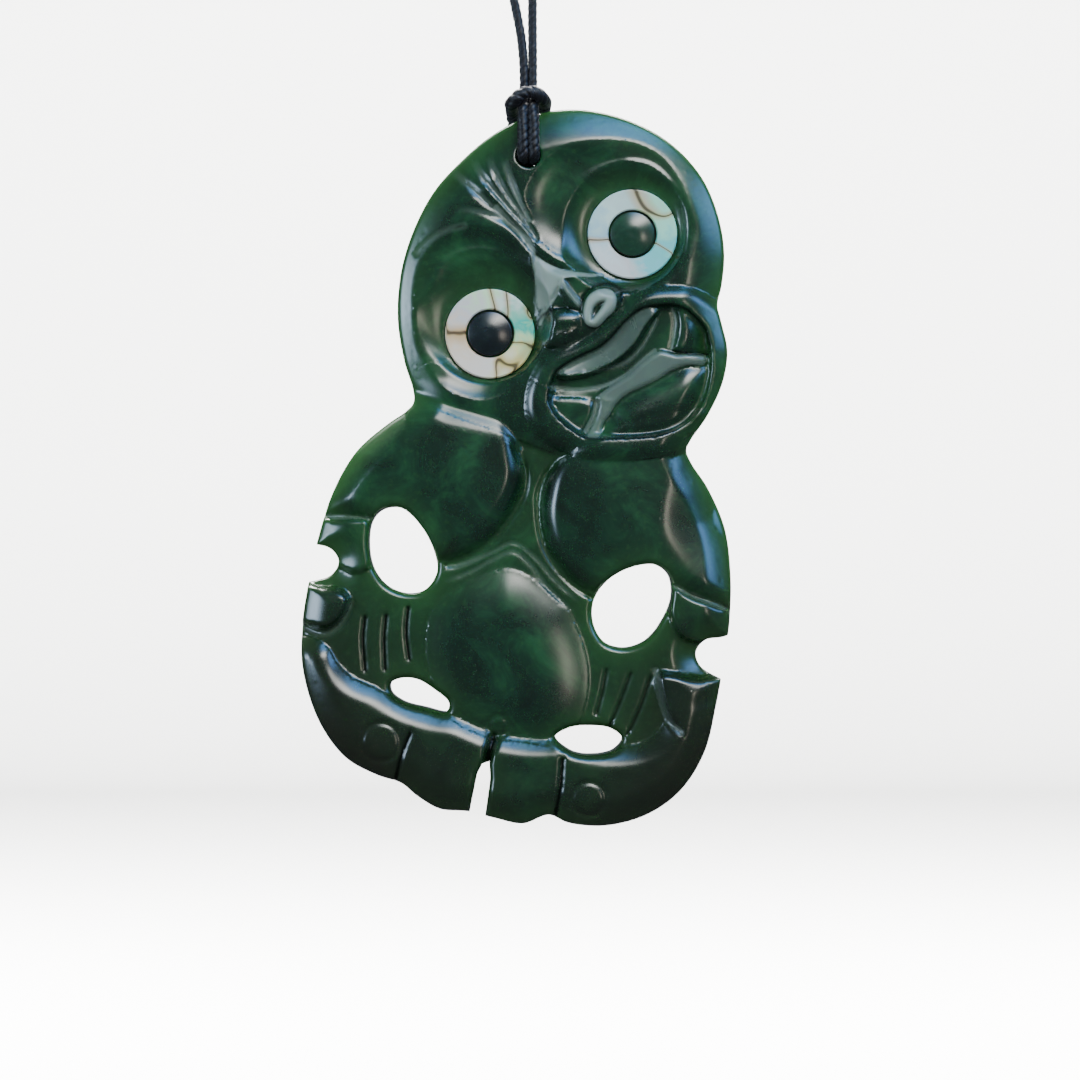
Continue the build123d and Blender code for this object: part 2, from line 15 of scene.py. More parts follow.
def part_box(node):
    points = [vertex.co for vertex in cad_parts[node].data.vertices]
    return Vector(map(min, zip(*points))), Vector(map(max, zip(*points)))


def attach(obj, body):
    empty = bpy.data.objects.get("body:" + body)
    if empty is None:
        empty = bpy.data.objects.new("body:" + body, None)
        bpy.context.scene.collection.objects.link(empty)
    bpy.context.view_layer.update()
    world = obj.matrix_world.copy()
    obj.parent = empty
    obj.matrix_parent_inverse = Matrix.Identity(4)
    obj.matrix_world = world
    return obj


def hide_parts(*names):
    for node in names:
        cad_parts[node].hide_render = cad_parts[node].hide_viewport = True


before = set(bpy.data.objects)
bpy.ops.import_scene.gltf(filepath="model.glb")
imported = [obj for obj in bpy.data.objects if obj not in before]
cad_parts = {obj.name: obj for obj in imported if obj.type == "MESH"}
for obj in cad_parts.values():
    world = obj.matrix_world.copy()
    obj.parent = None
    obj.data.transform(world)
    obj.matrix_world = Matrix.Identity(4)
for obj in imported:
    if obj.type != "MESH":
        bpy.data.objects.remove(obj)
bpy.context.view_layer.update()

log = logging.getLogger("pendant")

MM = 0.001
# The carving is set out on a grid of this many millimetres, right and up from the cord's bore
GRID = 0.112
BORE_HEIGHT = -309.25
STONE_THICK = 8.0
# The figure's width and height in millimetres, and the bore's place on it: percent of the width from
# the middle and percent of the height from the lowest point
FIGURE_SIZE = (427 * GRID, 715 * GRID)
BORE_SHARE = (2.81, 93.43)
ROOT = "root"
# Stands in for zero where something is divided by it
NOTHING = 1e-12
# How many points are measured against a line at a time
BATCH = 4096
# A row of even triangles is this share of their side high
ROW_RISE = 0.866

Places = tuple[tuple[float, float], ...]
Edges = tuple[np.ndarray, np.ndarray, np.ndarray]
Fields = tuple[np.ndarray, np.ndarray, np.ndarray]
Guides = list[tuple[np.ndarray, bool]]
Face = tuple[int, ...]
Tree = bpy.types.NodeTree
Socket = bpy.types.NodeSocket


def linear(hex_colour: str) -> tuple[float, float, float, float]:
    """Turn an sRGB hex colour to the linear colour that a shader takes.

    Args:
        hex_colour: Six hex digits, with or without a hash sign.

    Returns:
        Linear red, green, blue and an alpha of one.
    """
    digits = hex_colour.lstrip("#")
    parts = [int(digits[i : i + 2], 16) / 255 for i in (0, 2, 4)]
    lin = [c / 12.92 if c <= 0.04045 else ((c + 0.055) / 1.055) ** 2.4 for c in parts]
    return (lin[0], lin[1], lin[2], 1.0)


def feed(tree: Tree, node: bpy.types.Node, inputs: dict) -> None:
    """Give a node's inputs their links and values.

    Args:
        tree: The node tree.
        node: The node.
        inputs: Input name or number to an output socket or a plain value.
    """
    for name, value in inputs.items():
        if isinstance(value, Socket):
            tree.links.new(value, node.inputs[name])
        else:
            node.inputs[name].default_value = value


def add_node(tree: Tree, kind: str, inputs: dict | None = None, **settings) -> bpy.types.Node:
    """Add a shader node.

    Args:
        tree: The node tree it goes in.
        kind: The node's type name.
        inputs: What its inputs take.
        settings: Attributes of the node.

    Returns:
        The new node.
    """
    node = tree.nodes.new(kind)
    for name, value in settings.items():
        setattr(node, name, value)
    feed(tree, node, inputs or {})
    return node


def set_ramp(node: bpy.types.Node, stops: list[tuple[float, str]]) -> None:
    """Give a colour ramp its stops.

    Args:
        node: The ramp.
        stops: Places from 0 to 1 and their hex colours.
    """
    elements = node.color_ramp.elements
    while len(elements) > 1:
        elements.remove(elements[-1])
    elements[0].position = stops[0][0]
    elements[0].color = linear(stops[0][1])
    for place, colour in stops[1:]:
        elements.new(place).color = linear(colour)


def scale_of(size_mm: float) -> float:
    """The scale at which a noise's marks are about a size in millimetres."""
    return 1 / (size_mm * MM)


def start_material(name: str) -> tuple[bpy.types.Material, Tree, bpy.types.Node]:
    """Start a material.

    Args:
        name: Its name.

    Returns:
        The material, its node tree and its shader.
    """
    material = bpy.data.materials.new(name)
    material.use_nodes = True
    return material, material.node_tree, material.node_tree.nodes["Principled BSDF"]


def new_mesh(name: str, points: np.ndarray, faces: list[Face]) -> bpy.types.Mesh:
    """Make a mesh.

    Args:
        name: Its name.
        points: Its points, in millimetres.
        faces: Its faces.

    Returns:
        The mesh, in metres.
    """
    mesh = bpy.data.meshes.new(name)
    mesh.from_pydata((points * MM).tolist(), [], faces)
    return mesh


def to_object(mesh: bpy.types.Mesh) -> bpy.types.Object:
    """Put a mesh in the scene, its faces turned outward and shaded smooth.

    Args:
        mesh: The mesh. Points that no face uses are taken out.

    Returns:
        Its object, with the mesh's name.
    """
    mesh.validate()
    shape = bmesh.new()
    shape.from_mesh(mesh)
    bmesh.ops.delete(shape, geom=[v for v in shape.verts if not v.link_faces], context="VERTS")
    bmesh.ops.recalc_face_normals(shape, faces=shape.faces)
    open_edges = sum(1 for edge in shape.edges if len(edge.link_faces) != 2)
    shape.to_mesh(mesh)
    shape.free()
    mesh.shade_smooth()
    piece = bpy.data.objects.new(mesh.name, mesh)
    bpy.context.scene.collection.objects.link(piece)
    log.info("%s: %d faces, %d open edges", piece.name, len(mesh.polygons), open_edges)
    return piece


def tube_faces(rows: int, count: int) -> list[Face]:
    """The faces between rings of points that follow each other.

    Args:
        rows: How many rings there are.
        count: How many points a ring has.

    Returns:
        Four-sided faces, ring by ring.
    """
    faces = []
    for row in range(0, (rows - 1) * count, count):
        for k in range(count):
            after = (k + 1) % count
            faces.append((row + k, row + after, row + count + after, row + count + k))
    return faces


def middle_of(node: str) -> Vector:
    """The middle of a CAD node, in metres."""
    low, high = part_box(node)
    return (low + high) / 2


def tree_of(points: np.ndarray, first: int = 0) -> kdtree.KDTree:
    """Plant a tree that finds the nearest of some flat points.

    Args:
        points: The points.
        first: The number of the first of them.

    Returns:
        The tree.
    """
    tree = kdtree.KDTree(len(points))
    for i, (x, z) in enumerate(points):
        tree.insert((x, z, 0.0), first + i)
    tree.balance()
    return tree


def on_grid(places: Places) -> np.ndarray:
    """Places on the carving grid as millimetres right and up from the bore."""
    return np.array(places, float).reshape(-1, 2) * GRID


def on_figure(shares: Places) -> np.ndarray:
    """Shares of the figure, as part.py has them, as millimetres right and up from the bore."""
    return (np.array(shares, float) - BORE_SHARE) / 100 * FIGURE_SIZE


def smooth(places: np.ndarray, closed: bool = True, step: float = 0.25) -> np.ndarray:
    """A smooth line through a few places: a Catmull-Rom spline that leaves no loops in tight turns.

    Args:
        places: The places in millimetres.
        closed: Whether the line comes back to its first place.
        step: About how far apart the line's points are.

    Returns:
        The line's points. A closed line doesn't repeat its first.
    """
    count = len(places)
    if count < 3:
        steps = max(2, int(np.hypot(*(places[-1] - places[0])) / step))
        return places[0] + np.linspace(0, 1, steps)[:, None] * (places[-1] - places[0])
    if closed:
        ring = np.concatenate([places[-1:], places, places[:2]])
    else:
        ring = np.concatenate([2 * places[:1] - places[1:2], places, 2 * places[-1:] - places[-2:-1]])
    line = []
    for i in range(count if closed else count - 1):
        a, b, c, d = ring[i : i + 4]
        gaps = [max(np.hypot(*(q - p)), NOTHING) ** 0.5 for p, q in ((a, b), (b, c), (c, d))]
        t0, t1, t2, t3 = 0.0, gaps[0], gaps[0] + gaps[1], sum(gaps)
        steps = max(2, round(np.hypot(*(c - b)) / step))
        t = np.linspace(t1, t2, steps, endpoint=False)[:, None]
        ab = (t1 - t) / (t1 - t0) * a + (t - t0) / (t1 - t0) * b
        bc = (t2 - t) / (t2 - t1) * b + (t - t1) / (t2 - t1) * c
        cd = (t3 - t) / (t3 - t2) * c + (t - t2) / (t3 - t2) * d
        abc = (t2 - t) / (t2 - t0) * ab + (t - t0) / (t2 - t0) * bc
        bcd = (t3 - t) / (t3 - t1) * bc + (t - t1) / (t3 - t1) * cd
        line.append((t2 - t) / (t2 - t1) * abc + (t - t1) / (t2 - t1) * bcd)
    if not closed:
        line.append(places[-1:])
    return np.concatenate(line)


def circle(middle: np.ndarray, radius: float, step: float = 0.2) -> np.ndarray:
    """Draw a circle.

    Args:
        middle: Its middle, in millimetres.
        radius: Its radius.
        step: About how far apart its points are.

    Returns:
        Its points.
    """
    count = max(24, int(2 * math.pi * radius / step))
    angles = np.arange(count) * 2 * math.pi / count
    return middle + radius * np.stack([np.cos(angles), np.sin(angles)], 1)


def line_distance(points: np.ndarray, line: np.ndarray, closed: bool, reach: float) -> np.ndarray:
    """How far points are from a line, but no more than the reach.

    Args:
        points: The points in millimetres.
        line: The line's points.
        closed: Whether the line comes back to its first point.
        reach: The distance beyond which nothing is worked out.

    Returns:
        One distance for each point.
    """
    starts = line if closed else line[:-1]
    ends = np.roll(line, -1, 0) if closed else line[1:]
    runs = ends - starts
    lengths = np.maximum((runs**2).sum(1), NOTHING)
    near = np.all((points > line.min(0) - reach) & (points < line.max(0) + reach), 1)
    found = np.full(len(points), reach)
    chosen = np.nonzero(near)[0]
    for first in range(0, len(chosen), BATCH):
        part = chosen[first : first + BATCH]
        from_start = points[part][:, None, :] - starts[None]
        along = np.clip((from_start * runs).sum(2) / lengths, 0, 1)
        away = from_start - along[..., None] * runs
        found[part] = np.minimum(np.sqrt((away**2).sum(2).min(1)), reach)
    return found


def is_inside(points: np.ndarray, loop: np.ndarray) -> np.ndarray:
    """Find which points are inside a closed line.

    Args:
        points: The points.
        loop: The line's points.

    Returns:
        True or false for each point.
    """
    within = np.all((points >= loop.min(0)) & (points <= loop.max(0)), 1)
    answer = np.zeros(len(points), bool)
    chosen = np.nonzero(within)[0]
    ends = np.roll(loop, -1, 0)
    rise = ends[:, 1] - loop[:, 1]
    rise = np.where(np.abs(rise) < NOTHING, NOTHING, rise)
    for first in range(0, len(chosen), BATCH):
        part = chosen[first : first + BATCH]
        x, z = points[part, 0][:, None], points[part, 1][:, None]
        crosses = (loop[:, 1] > z) != (ends[:, 1] > z)
        at = loop[:, 0] + (z - loop[:, 1]) / rise * (ends[:, 0] - loop[:, 0])
        answer[part] = (crosses & (x < at)).sum(1) % 2 == 1
    return answer


def loop_depth(points: np.ndarray, loop: np.ndarray, reach: float) -> np.ndarray:
    """How far inside a closed line points are, negative outside, within the reach."""
    return line_distance(points, loop, True, reach) * np.where(is_inside(points, loop), 1, -1)


def higher(a: np.ndarray, b: np.ndarray, blend: float) -> np.ndarray:
    """The higher of two surfaces, with a small fillet where they meet."""
    meet = np.maximum(blend - np.abs(a - b), 0) / blend
    return np.maximum(a, b) + meet * meet * blend / 4


def lower(a: np.ndarray, b: np.ndarray, blend: float) -> np.ndarray:
    """The lower of two surfaces, with a small round where they meet."""
    return -higher(-a, -b, blend)


def swell(inside: np.ndarray, reach: float, power: float) -> np.ndarray:
    """How a form's edge comes up, from 0 at its outline to 1 at the reach inside it."""
    return 1 - (1 - np.clip(inside / reach, 0, 1)) ** power


def rounding(far: np.ndarray, radius: float) -> np.ndarray:
    """How far a surface falls towards an edge that is rounded by a radius."""
    t = 1 - np.clip(far / radius, 0, 1)
    return radius * (1 - np.sqrt(1 - t * t))


class Carve(Enum):
    """How a form changes the surface that it is on."""

    BODY = "body"
    RAISE = "raise"
    SINK = "sink"
    BEVEL = "bevel"


@dataclass(frozen=True)
class Form:
    """One form of the carving.

    A body form stands at its own depths. The others change the surface under them by their amount: a
    bevel by that much for each millimetre from its outline.

    Attributes:
        amount: A body's depth, or how much the surface is changed.
        reach: How far inside its outline it comes up to that, in millimetres.
        foot: A body's depth at its outline.
        power: How steeply its edge comes up.
        blend: The small round where it meets the surface, in millimetres.
        mounds: Low domes on a body: middle, half width, half height and rise.
        matte: How much more matte its surface is, or less if it is negative.
        crest: The line that a bevel falls from, where it isn't the outline.
    """

    name: str
    kind: Carve
    outline: Places
    amount: float
    reach: float
    foot: float = 5.4
    power: float = 2.0
    blend: float = 0.15
    mounds: tuple = ()
    matte: float = 0.0
    crest: Places = ()


@dataclass(frozen=True)
class Line:
    """A cut line, or a thin ridge if its cut is negative. Its width grows by the flare to its end. It
    comes up over the run-in and fades over the run-out, each a share of its length."""

    places: Places
    width: float
    cut: float
    matte: float = 0.5
    flare: float = 1.0
    # The share of painted shade that darkens the line's bed and takes away its gloss
    dirt: float = 0.0
    run_in: float = 0.0
    run_out: float = 0.0


# The silhouette and what is cut through it: percent of the figure's width from its middle, and percent
# of its height from its lowest point
OUTLINE = ((-24.1, 60.6), (-26.3, 65), (-27.8, 70.9), (-27, 77.3), (-24.2, 82.9), (-19.3, 88.5),
    (-12.5, 93), (-5.7, 96.4), (2.7, 99), (13.7, 100), (25.6, 98.6), (35.5, 95.5), (43, 90.8),
    (47, 85.5), (48.6, 80.1), (48, 75.4), (47, 72.6), (47.9, 70.2), (49.3, 66.2), (48.1, 61.7),
    (44.6, 57.2), (40.6, 53.7), (39.7, 52.4), (40.9, 50.6), (44.8, 47.1), (48.8, 41.5), (50.1, 35.4),
    (49.9, 28.7), (48.7, 23.8), (46.7, 16.9), (43.9, 10.2), (38.3, 4.9), (30.3, 1.5), (20.7, 0),
    (12.1, 0.4), (7.6, 1.5), (1.5, 0.3), (-5.3, 1.1), (-11.6, 2), (-17.9, 2.35), (-23.3, 4.2),
    (-26.8, 5.9), (-32.7, 7.1), (-39.9, 9.5), (-46, 14.4), (-49.8, 21.4), (-50.2, 27.3), (-48.6, 34),
    (-46.5, 39.9), (-42.7, 46.9), (-37.4, 52.3), (-30.1, 56.1), (-25.9, 57.8), (-24.1, 59))
GAPS = {
    "left arm": ((-31, 44.2), (-26.8, 44.3), (-22.6, 42.1), (-19.3, 38.5), (-18.6, 35.4), (-21.2, 33),
        (-25.4, 32.4), (-30.1, 33.4), (-33.4, 35.9), (-34.5, 39.6), (-33.6, 42.7)),
    "right arm": ((32.4, 36.4), (35.5, 35), (36.2, 32), (34.1, 28.7), (30.3, 25.9), (25.2, 24.8),
        (20.5, 25.6), (17.9, 28.4), (18.1, 31.5), (21.4, 34.3), (27, 36.1)),
    "left leg": ((-29.4, 19.9), (-26.8, 20.6), (-23.1, 20.4), (-18.9, 18.9), (-15.8, 17.2),
        (-16.3, 15.9), (-20.7, 16.4), (-26.3, 17.3), (-29.2, 18.6)),
    "right leg": ((9, 12.4), (12.5, 13.7), (17.2, 14), (21.9, 13.6), (24.7, 12.2), (22.8, 10.6),
        (18.1, 9.9), (13, 10.3)),
}
NOTCHES = {
    "left": ((-54, 38.9), (-46.5, 39.2), (-43.2, 38.5), (-41.6, 36.9), (-43.2, 35.1), (-46.5, 34.3),
        (-54, 34), (-58, 36.5)),
    "right": ((54, 27.3), (48.1, 26.3), (44.2, 25.9), (42, 24.2), (43, 22.3), (48.1, 20.4), (54, 19.4),
        (58, 23.5)),
}
FOOT_SLIT = ((-9.2, 7.3), (-8, 8.7), (-6.3, 9), (-6.1, 6.6), (-8.1, -2), (-12.3, -2))

# The outlines of the large forms, on the carving grid
HEAD = ((-114, -244), (-88, -254), (-58, -266), (-28, -276), (2, -288), (24, -296), (54, -303),
    (84, -305), (116, -303), (144, -297), (162, -287), (192, -273), (222, -223), (222, -83), (192, 27),
    (112, 67), (32, 67), (-78, 17), (-138, -63), (-148, -163), (-134, -233))
LEFT_SHOULDER = ((-128, -223), (-88, -203), (-48, -213), (-20, -238), (-12, -268), (-6, -299),
    (-4, -317), (-8, -335), (-16, -352), (-28, -369), (-44, -386), (-66, -398), (-82, -403),
    (-114, -405), (-144, -393), (-156, -373), (-164, -362), (-184, -356), (-206, -358), (-228, -353),
    (-228, -293), (-188, -243), (-138, -228))
RIGHT_SHOULDER = ((72, -263), (54, -279), (34, -293), (20, -315), (14, -337), (12, -355), (14, -373),
    (20, -392), (32, -409), (46, -424), (64, -435), (92, -443), (126, -433), (140, -429), (152, -433),
    (172, -441), (200, -452), (232, -443), (246, -343), (232, -283), (192, -243), (152, -243),
    (112, -253))
BELLY = ((-74, -434), (-48, -420), (-22, -412), (-4, -417), (18, -433), (40, -455), (54, -485),
    (60, -513), (58, -543), (46, -571), (24, -587), (-8, -584), (-34, -581), (-58, -573), (-78, -561),
    (-90, -543), (-98, -515), (-102, -488), (-96, -455))
LEGS = ((-238, -483), (-216, -481), (-200, -491), (-190, -507), (-176, -520), (-152, -531),
    (-128, -545), (-98, -555), (-74, -559), (-54, -567), (-34, -575), (-8, -580), (16, -581),
    (30, -580), (52, -587), (82, -591), (112, -587), (130, -575), (140, -557), (148, -541), (172, -531),
    (212, -527), (242, -563), (212, -663), (122, -713), (12, -713), (-98, -693), (-188, -653),
    (-248, -573))

# Lines that more than one form or cut keeps to
COLLAR_CREST = ((-134, -244), (-111, -254), (-89, -268), (-61, -275), (-24, -284), (6, -297),
    (41, -302))
RIGHT_CREST = ((149, -290), (138, -320), (131, -352), (132, -378), (149, -408), (172, -431),
    (199, -455))
TEETH_CREST = ((32, -219), (48, -219), (64, -215), (81, -207), (95, -198), (107, -185), (115, -172),
    (122, -162), (130, -153))
MOUTH_TOP = ((22, -228), (27, -216), (38, -207), (53, -199), (70, -191), (83, -180), (95, -166),
    (107, -156), (118, -151), (132, -149), (144, -149), (157, -153), (168, -162), (177, -173),
    (181, -188))
MOUTH_FOOT = ((20, -245), (25, -256), (38, -270), (53, -280), (70, -282), (97, -282), (125, -280),
    (146, -274))

# The forms, in the order in which they are carved
FORMS = (
    Form("left shoulder", Carve.BODY, LEFT_SHOULDER, 6.6, 2.2, foot=5.5,
        mounds=(((-74, -320), 9.0, 9.0, 0.75),)),
    Form("left collar bevel", Carve.BEVEL, (*COLLAR_CREST, (50, -256), (-49, -207), (-134, -219)), 0.36,
        6.0, blend=0.7, crest=COLLAR_CREST),
    Form("left shoulder bevel", Carve.BEVEL, ((-124, -276), (-145, -301), (-168, -326), (-186, -349),
        (-203, -361), (-233, -364), (-221, -296), (-180, -241), (-127, -241)), 0.5, 4.5, blend=0.35,
        crest=((-109, -255), (-124, -276), (-145, -301), (-168, -326), (-186, -349), (-206, -362))),
    Form("right shoulder", Carve.BODY, RIGHT_SHOULDER, 6.6, 2.2, foot=5.5,
        mounds=(((72, -349), 9.0, 9.0, 0.7),)),
    Form("right shoulder bevel", Carve.BEVEL, (*RIGHT_CREST, (231, -452), (231, -311), (187, -282),
        (166, -276)), 0.3, 6.0, blend=1.2, crest=RIGHT_CREST),
    Form("belly", Carve.BODY, BELLY, 6.35, 5.5, foot=5.55, blend=0.3,
        mounds=(((-21, -496), 9.5, 10.5, 0.4),)),
    Form("left forearm", Carve.BODY, ((-233, -425), (-209, -428), (-189, -430), (-177, -442),
        (-183, -458), (-200, -472), (-224, -468), (-238, -458)), 6.7, 0.8, foot=5.5),
    Form("left elbow", Carve.BODY, ((-221, -361), (-189, -361), (-159, -363), (-158, -411),
        (-174, -417), (-192, -411), (-221, -411)), 6.2, 0.7, foot=5.5),
    Form("right forearm", Carve.BODY, ((128, -516), (166, -519), (202, -519), (202, -555), (172, -563),
        (146, -572), (132, -549)), 6.8, 0.8, foot=5.6),
    Form("right elbow", Carve.BODY, ((143, -428), (166, -439), (199, -452), (202, -481), (172, -487),
        (152, -481), (140, -458)), 6.4, 0.7, foot=5.5),
    Form("legs", Carve.BODY, LEGS, 6.9, 2.4, foot=5.75, power=1.6, blend=0.2),
    Form("head", Carve.BODY, HEAD, 6.45, 2.6, foot=5.85, blend=0.12,
        mounds=(((26, -72), 17.0, 17.0, 0.5),)),
    Form("right brow dish", Carve.SINK, ((-4, -39), (4, -19), (20, -1), (42, 11), (74, 16), (108, 13),
        (132, 1), (150, -21), (162, -50), (168, -72), (164, -93), (150, -115), (134, -129), (112, -137),
        (90, -131), (68, -118), (40, -105), (14, -88), (-2, -65)), 0.8, 3.2),
    Form("left brow dish", Carve.SINK, ((-110, -113), (-114, -133), (-114, -156), (-112, -183),
        (-102, -207), (-88, -228), (-66, -240), (-42, -243), (-20, -233), (-4, -215), (6, -193),
        (10, -171), (8, -149), (6, -127), (0, -105), (-14, -86), (-36, -73), (-62, -70), (-82, -76),
        (-98, -89)), 0.8, 3.0),
    Form("nose", Carve.RAISE, ((0, -94), (11, -101), (34, -113), (64, -118), (81, -125), (94, -134),
        (96, -144), (88, -155), (76, -167), (59, -180), (34, -194), (17, -191), (8, -177), (7, -156),
        (7, -128)), 0.6, 1.1),
    # The bridge's matte share paints a pale highlight on its facet
    Form("nose bridge", Carve.BEVEL, ((6, -99), (18, -106), (34, -113), (55, -116), (76, -118),
        (67, -121), (34, -124), (30, -131), (20, -150), (10, -153), (6, -128)), 0.3, 1.6, blend=0.25,
        matte=0.75, crest=((10, -153), (20, -150), (30, -131), (34, -124), (67, -121))),
    Form("nose right facet", Carve.SINK, ((35, -124), (50, -122), (67, -120), (76, -126), (64, -133),
        (55, -141), (52, -149)), 0.3, 0.35),
    Form("nose hollow", Carve.SINK, ((29, -131), (24, -140), (20, -150), (29, -153), (40, -152),
        (35, -140)), 0.4, 0.35),
    Form("left nostril", Carve.RAISE, ((10, -176), (13, -165), (22, -158), (34, -155), (48, -157),
        (53, -163), (50, -174), (42, -184), (31, -191), (20, -192), (13, -186)), 0.5, 1.5),
    Form("left nostril slot", Carve.SINK, ((20, -176), (27, -169), (36, -167), (48, -167), (49, -172),
        (38, -176), (27, -178)), 0.2, 0.8),
    Form("right nostril", Carve.RAISE, ((54, -155), (59, -140), (70, -133), (82, -133), (88, -141),
        (87, -153), (78, -163), (68, -172), (57, -169)), 0.55, 0.6, matte=0.9),
    Form("right nostril slot", Carve.SINK, ((62, -167), (63, -153), (68, -147), (78, -144), (74, -152),
        (69, -159)), 0.9, 0.35, matte=-1.0),
    Form("lips", Carve.RAISE, ((12, -203), (24, -193), (50, -183), (74, -168), (90, -153), (102, -141),
        (116, -133), (136, -130), (164, -132), (188, -143), (222, -158), (236, -213), (212, -263),
        (172, -293), (144, -299), (100, -304), (56, -302), (30, -294), (10, -280), (-2, -262),
        (-4, -242), (2, -220)), 0.8, 1.6),
    Form("mouth", Carve.SINK, (*MOUTH_TOP, (183, -205), (181, -226), (174, -247), (161, -264),
        *MOUTH_FOOT[::-1]), 1.3, 0.6),
    Form("upper teeth", Carve.RAISE, ((27, -220), (38, -207), (53, -199), (70, -191), (83, -180),
        (95, -166), (107, -156), (118, -151), (130, -153), (128, -159), (122, -167), (115, -177),
        (107, -190), (95, -202), (81, -212), (64, -219), (48, -223), (32, -223)), 1.0, 0.45),
    Form("upper teeth slope", Carve.BEVEL, (*TEETH_CREST, (118, -151), (107, -156), (95, -166),
        (83, -180), (70, -191), (53, -199), (38, -207), (27, -216)), 0.35, 1.6, blend=0.15, matte=0.18,
        crest=TEETH_CREST),
    Form("tongue", Carve.RAISE, ((132, -194), (146, -197), (177, -198), (177, -208), (157, -210),
        (143, -215), (129, -224), (112, -232), (98, -239), (88, -248), (81, -260), (76, -266),
        (70, -282), (57, -281), (59, -275), (66, -261), (69, -247), (67, -241), (81, -229), (98, -218),
        (112, -205), (123, -197)), 0.45, 0.4, matte=0.3),
    Form("lower lip dome", Carve.RAISE, ((179, -209), (157, -211), (143, -217), (129, -225),
        (112, -234), (100, -241), (90, -249), (83, -261), (77, -267), (72, -281), (97, -282),
        (125, -280), (146, -274), (161, -264), (174, -247), (181, -226)), 0.9, 3.0),
    Form("right fang", Carve.RAISE, ((146, -152), (158, -155), (168, -163), (177, -175), (180, -190),
        (180, -197), (144, -194), (147, -180), (148, -165)), 0.6, 0.45),
    Form("right fang slope", Carve.BEVEL, ((155, -154), (158, -155), (168, -163), (177, -175),
        (180, -190), (180, -197), (150, -194), (159, -173)), 0.45, 2.2, blend=0.1,
        crest=((155, -154), (160, -172), (150, -194))),
    Form("left fang", Carve.RAISE, ((23, -241), (34, -241), (63, -245), (66, -254), (59, -273),
        (52, -280), (38, -270), (27, -256)), 0.4, 0.55),
)
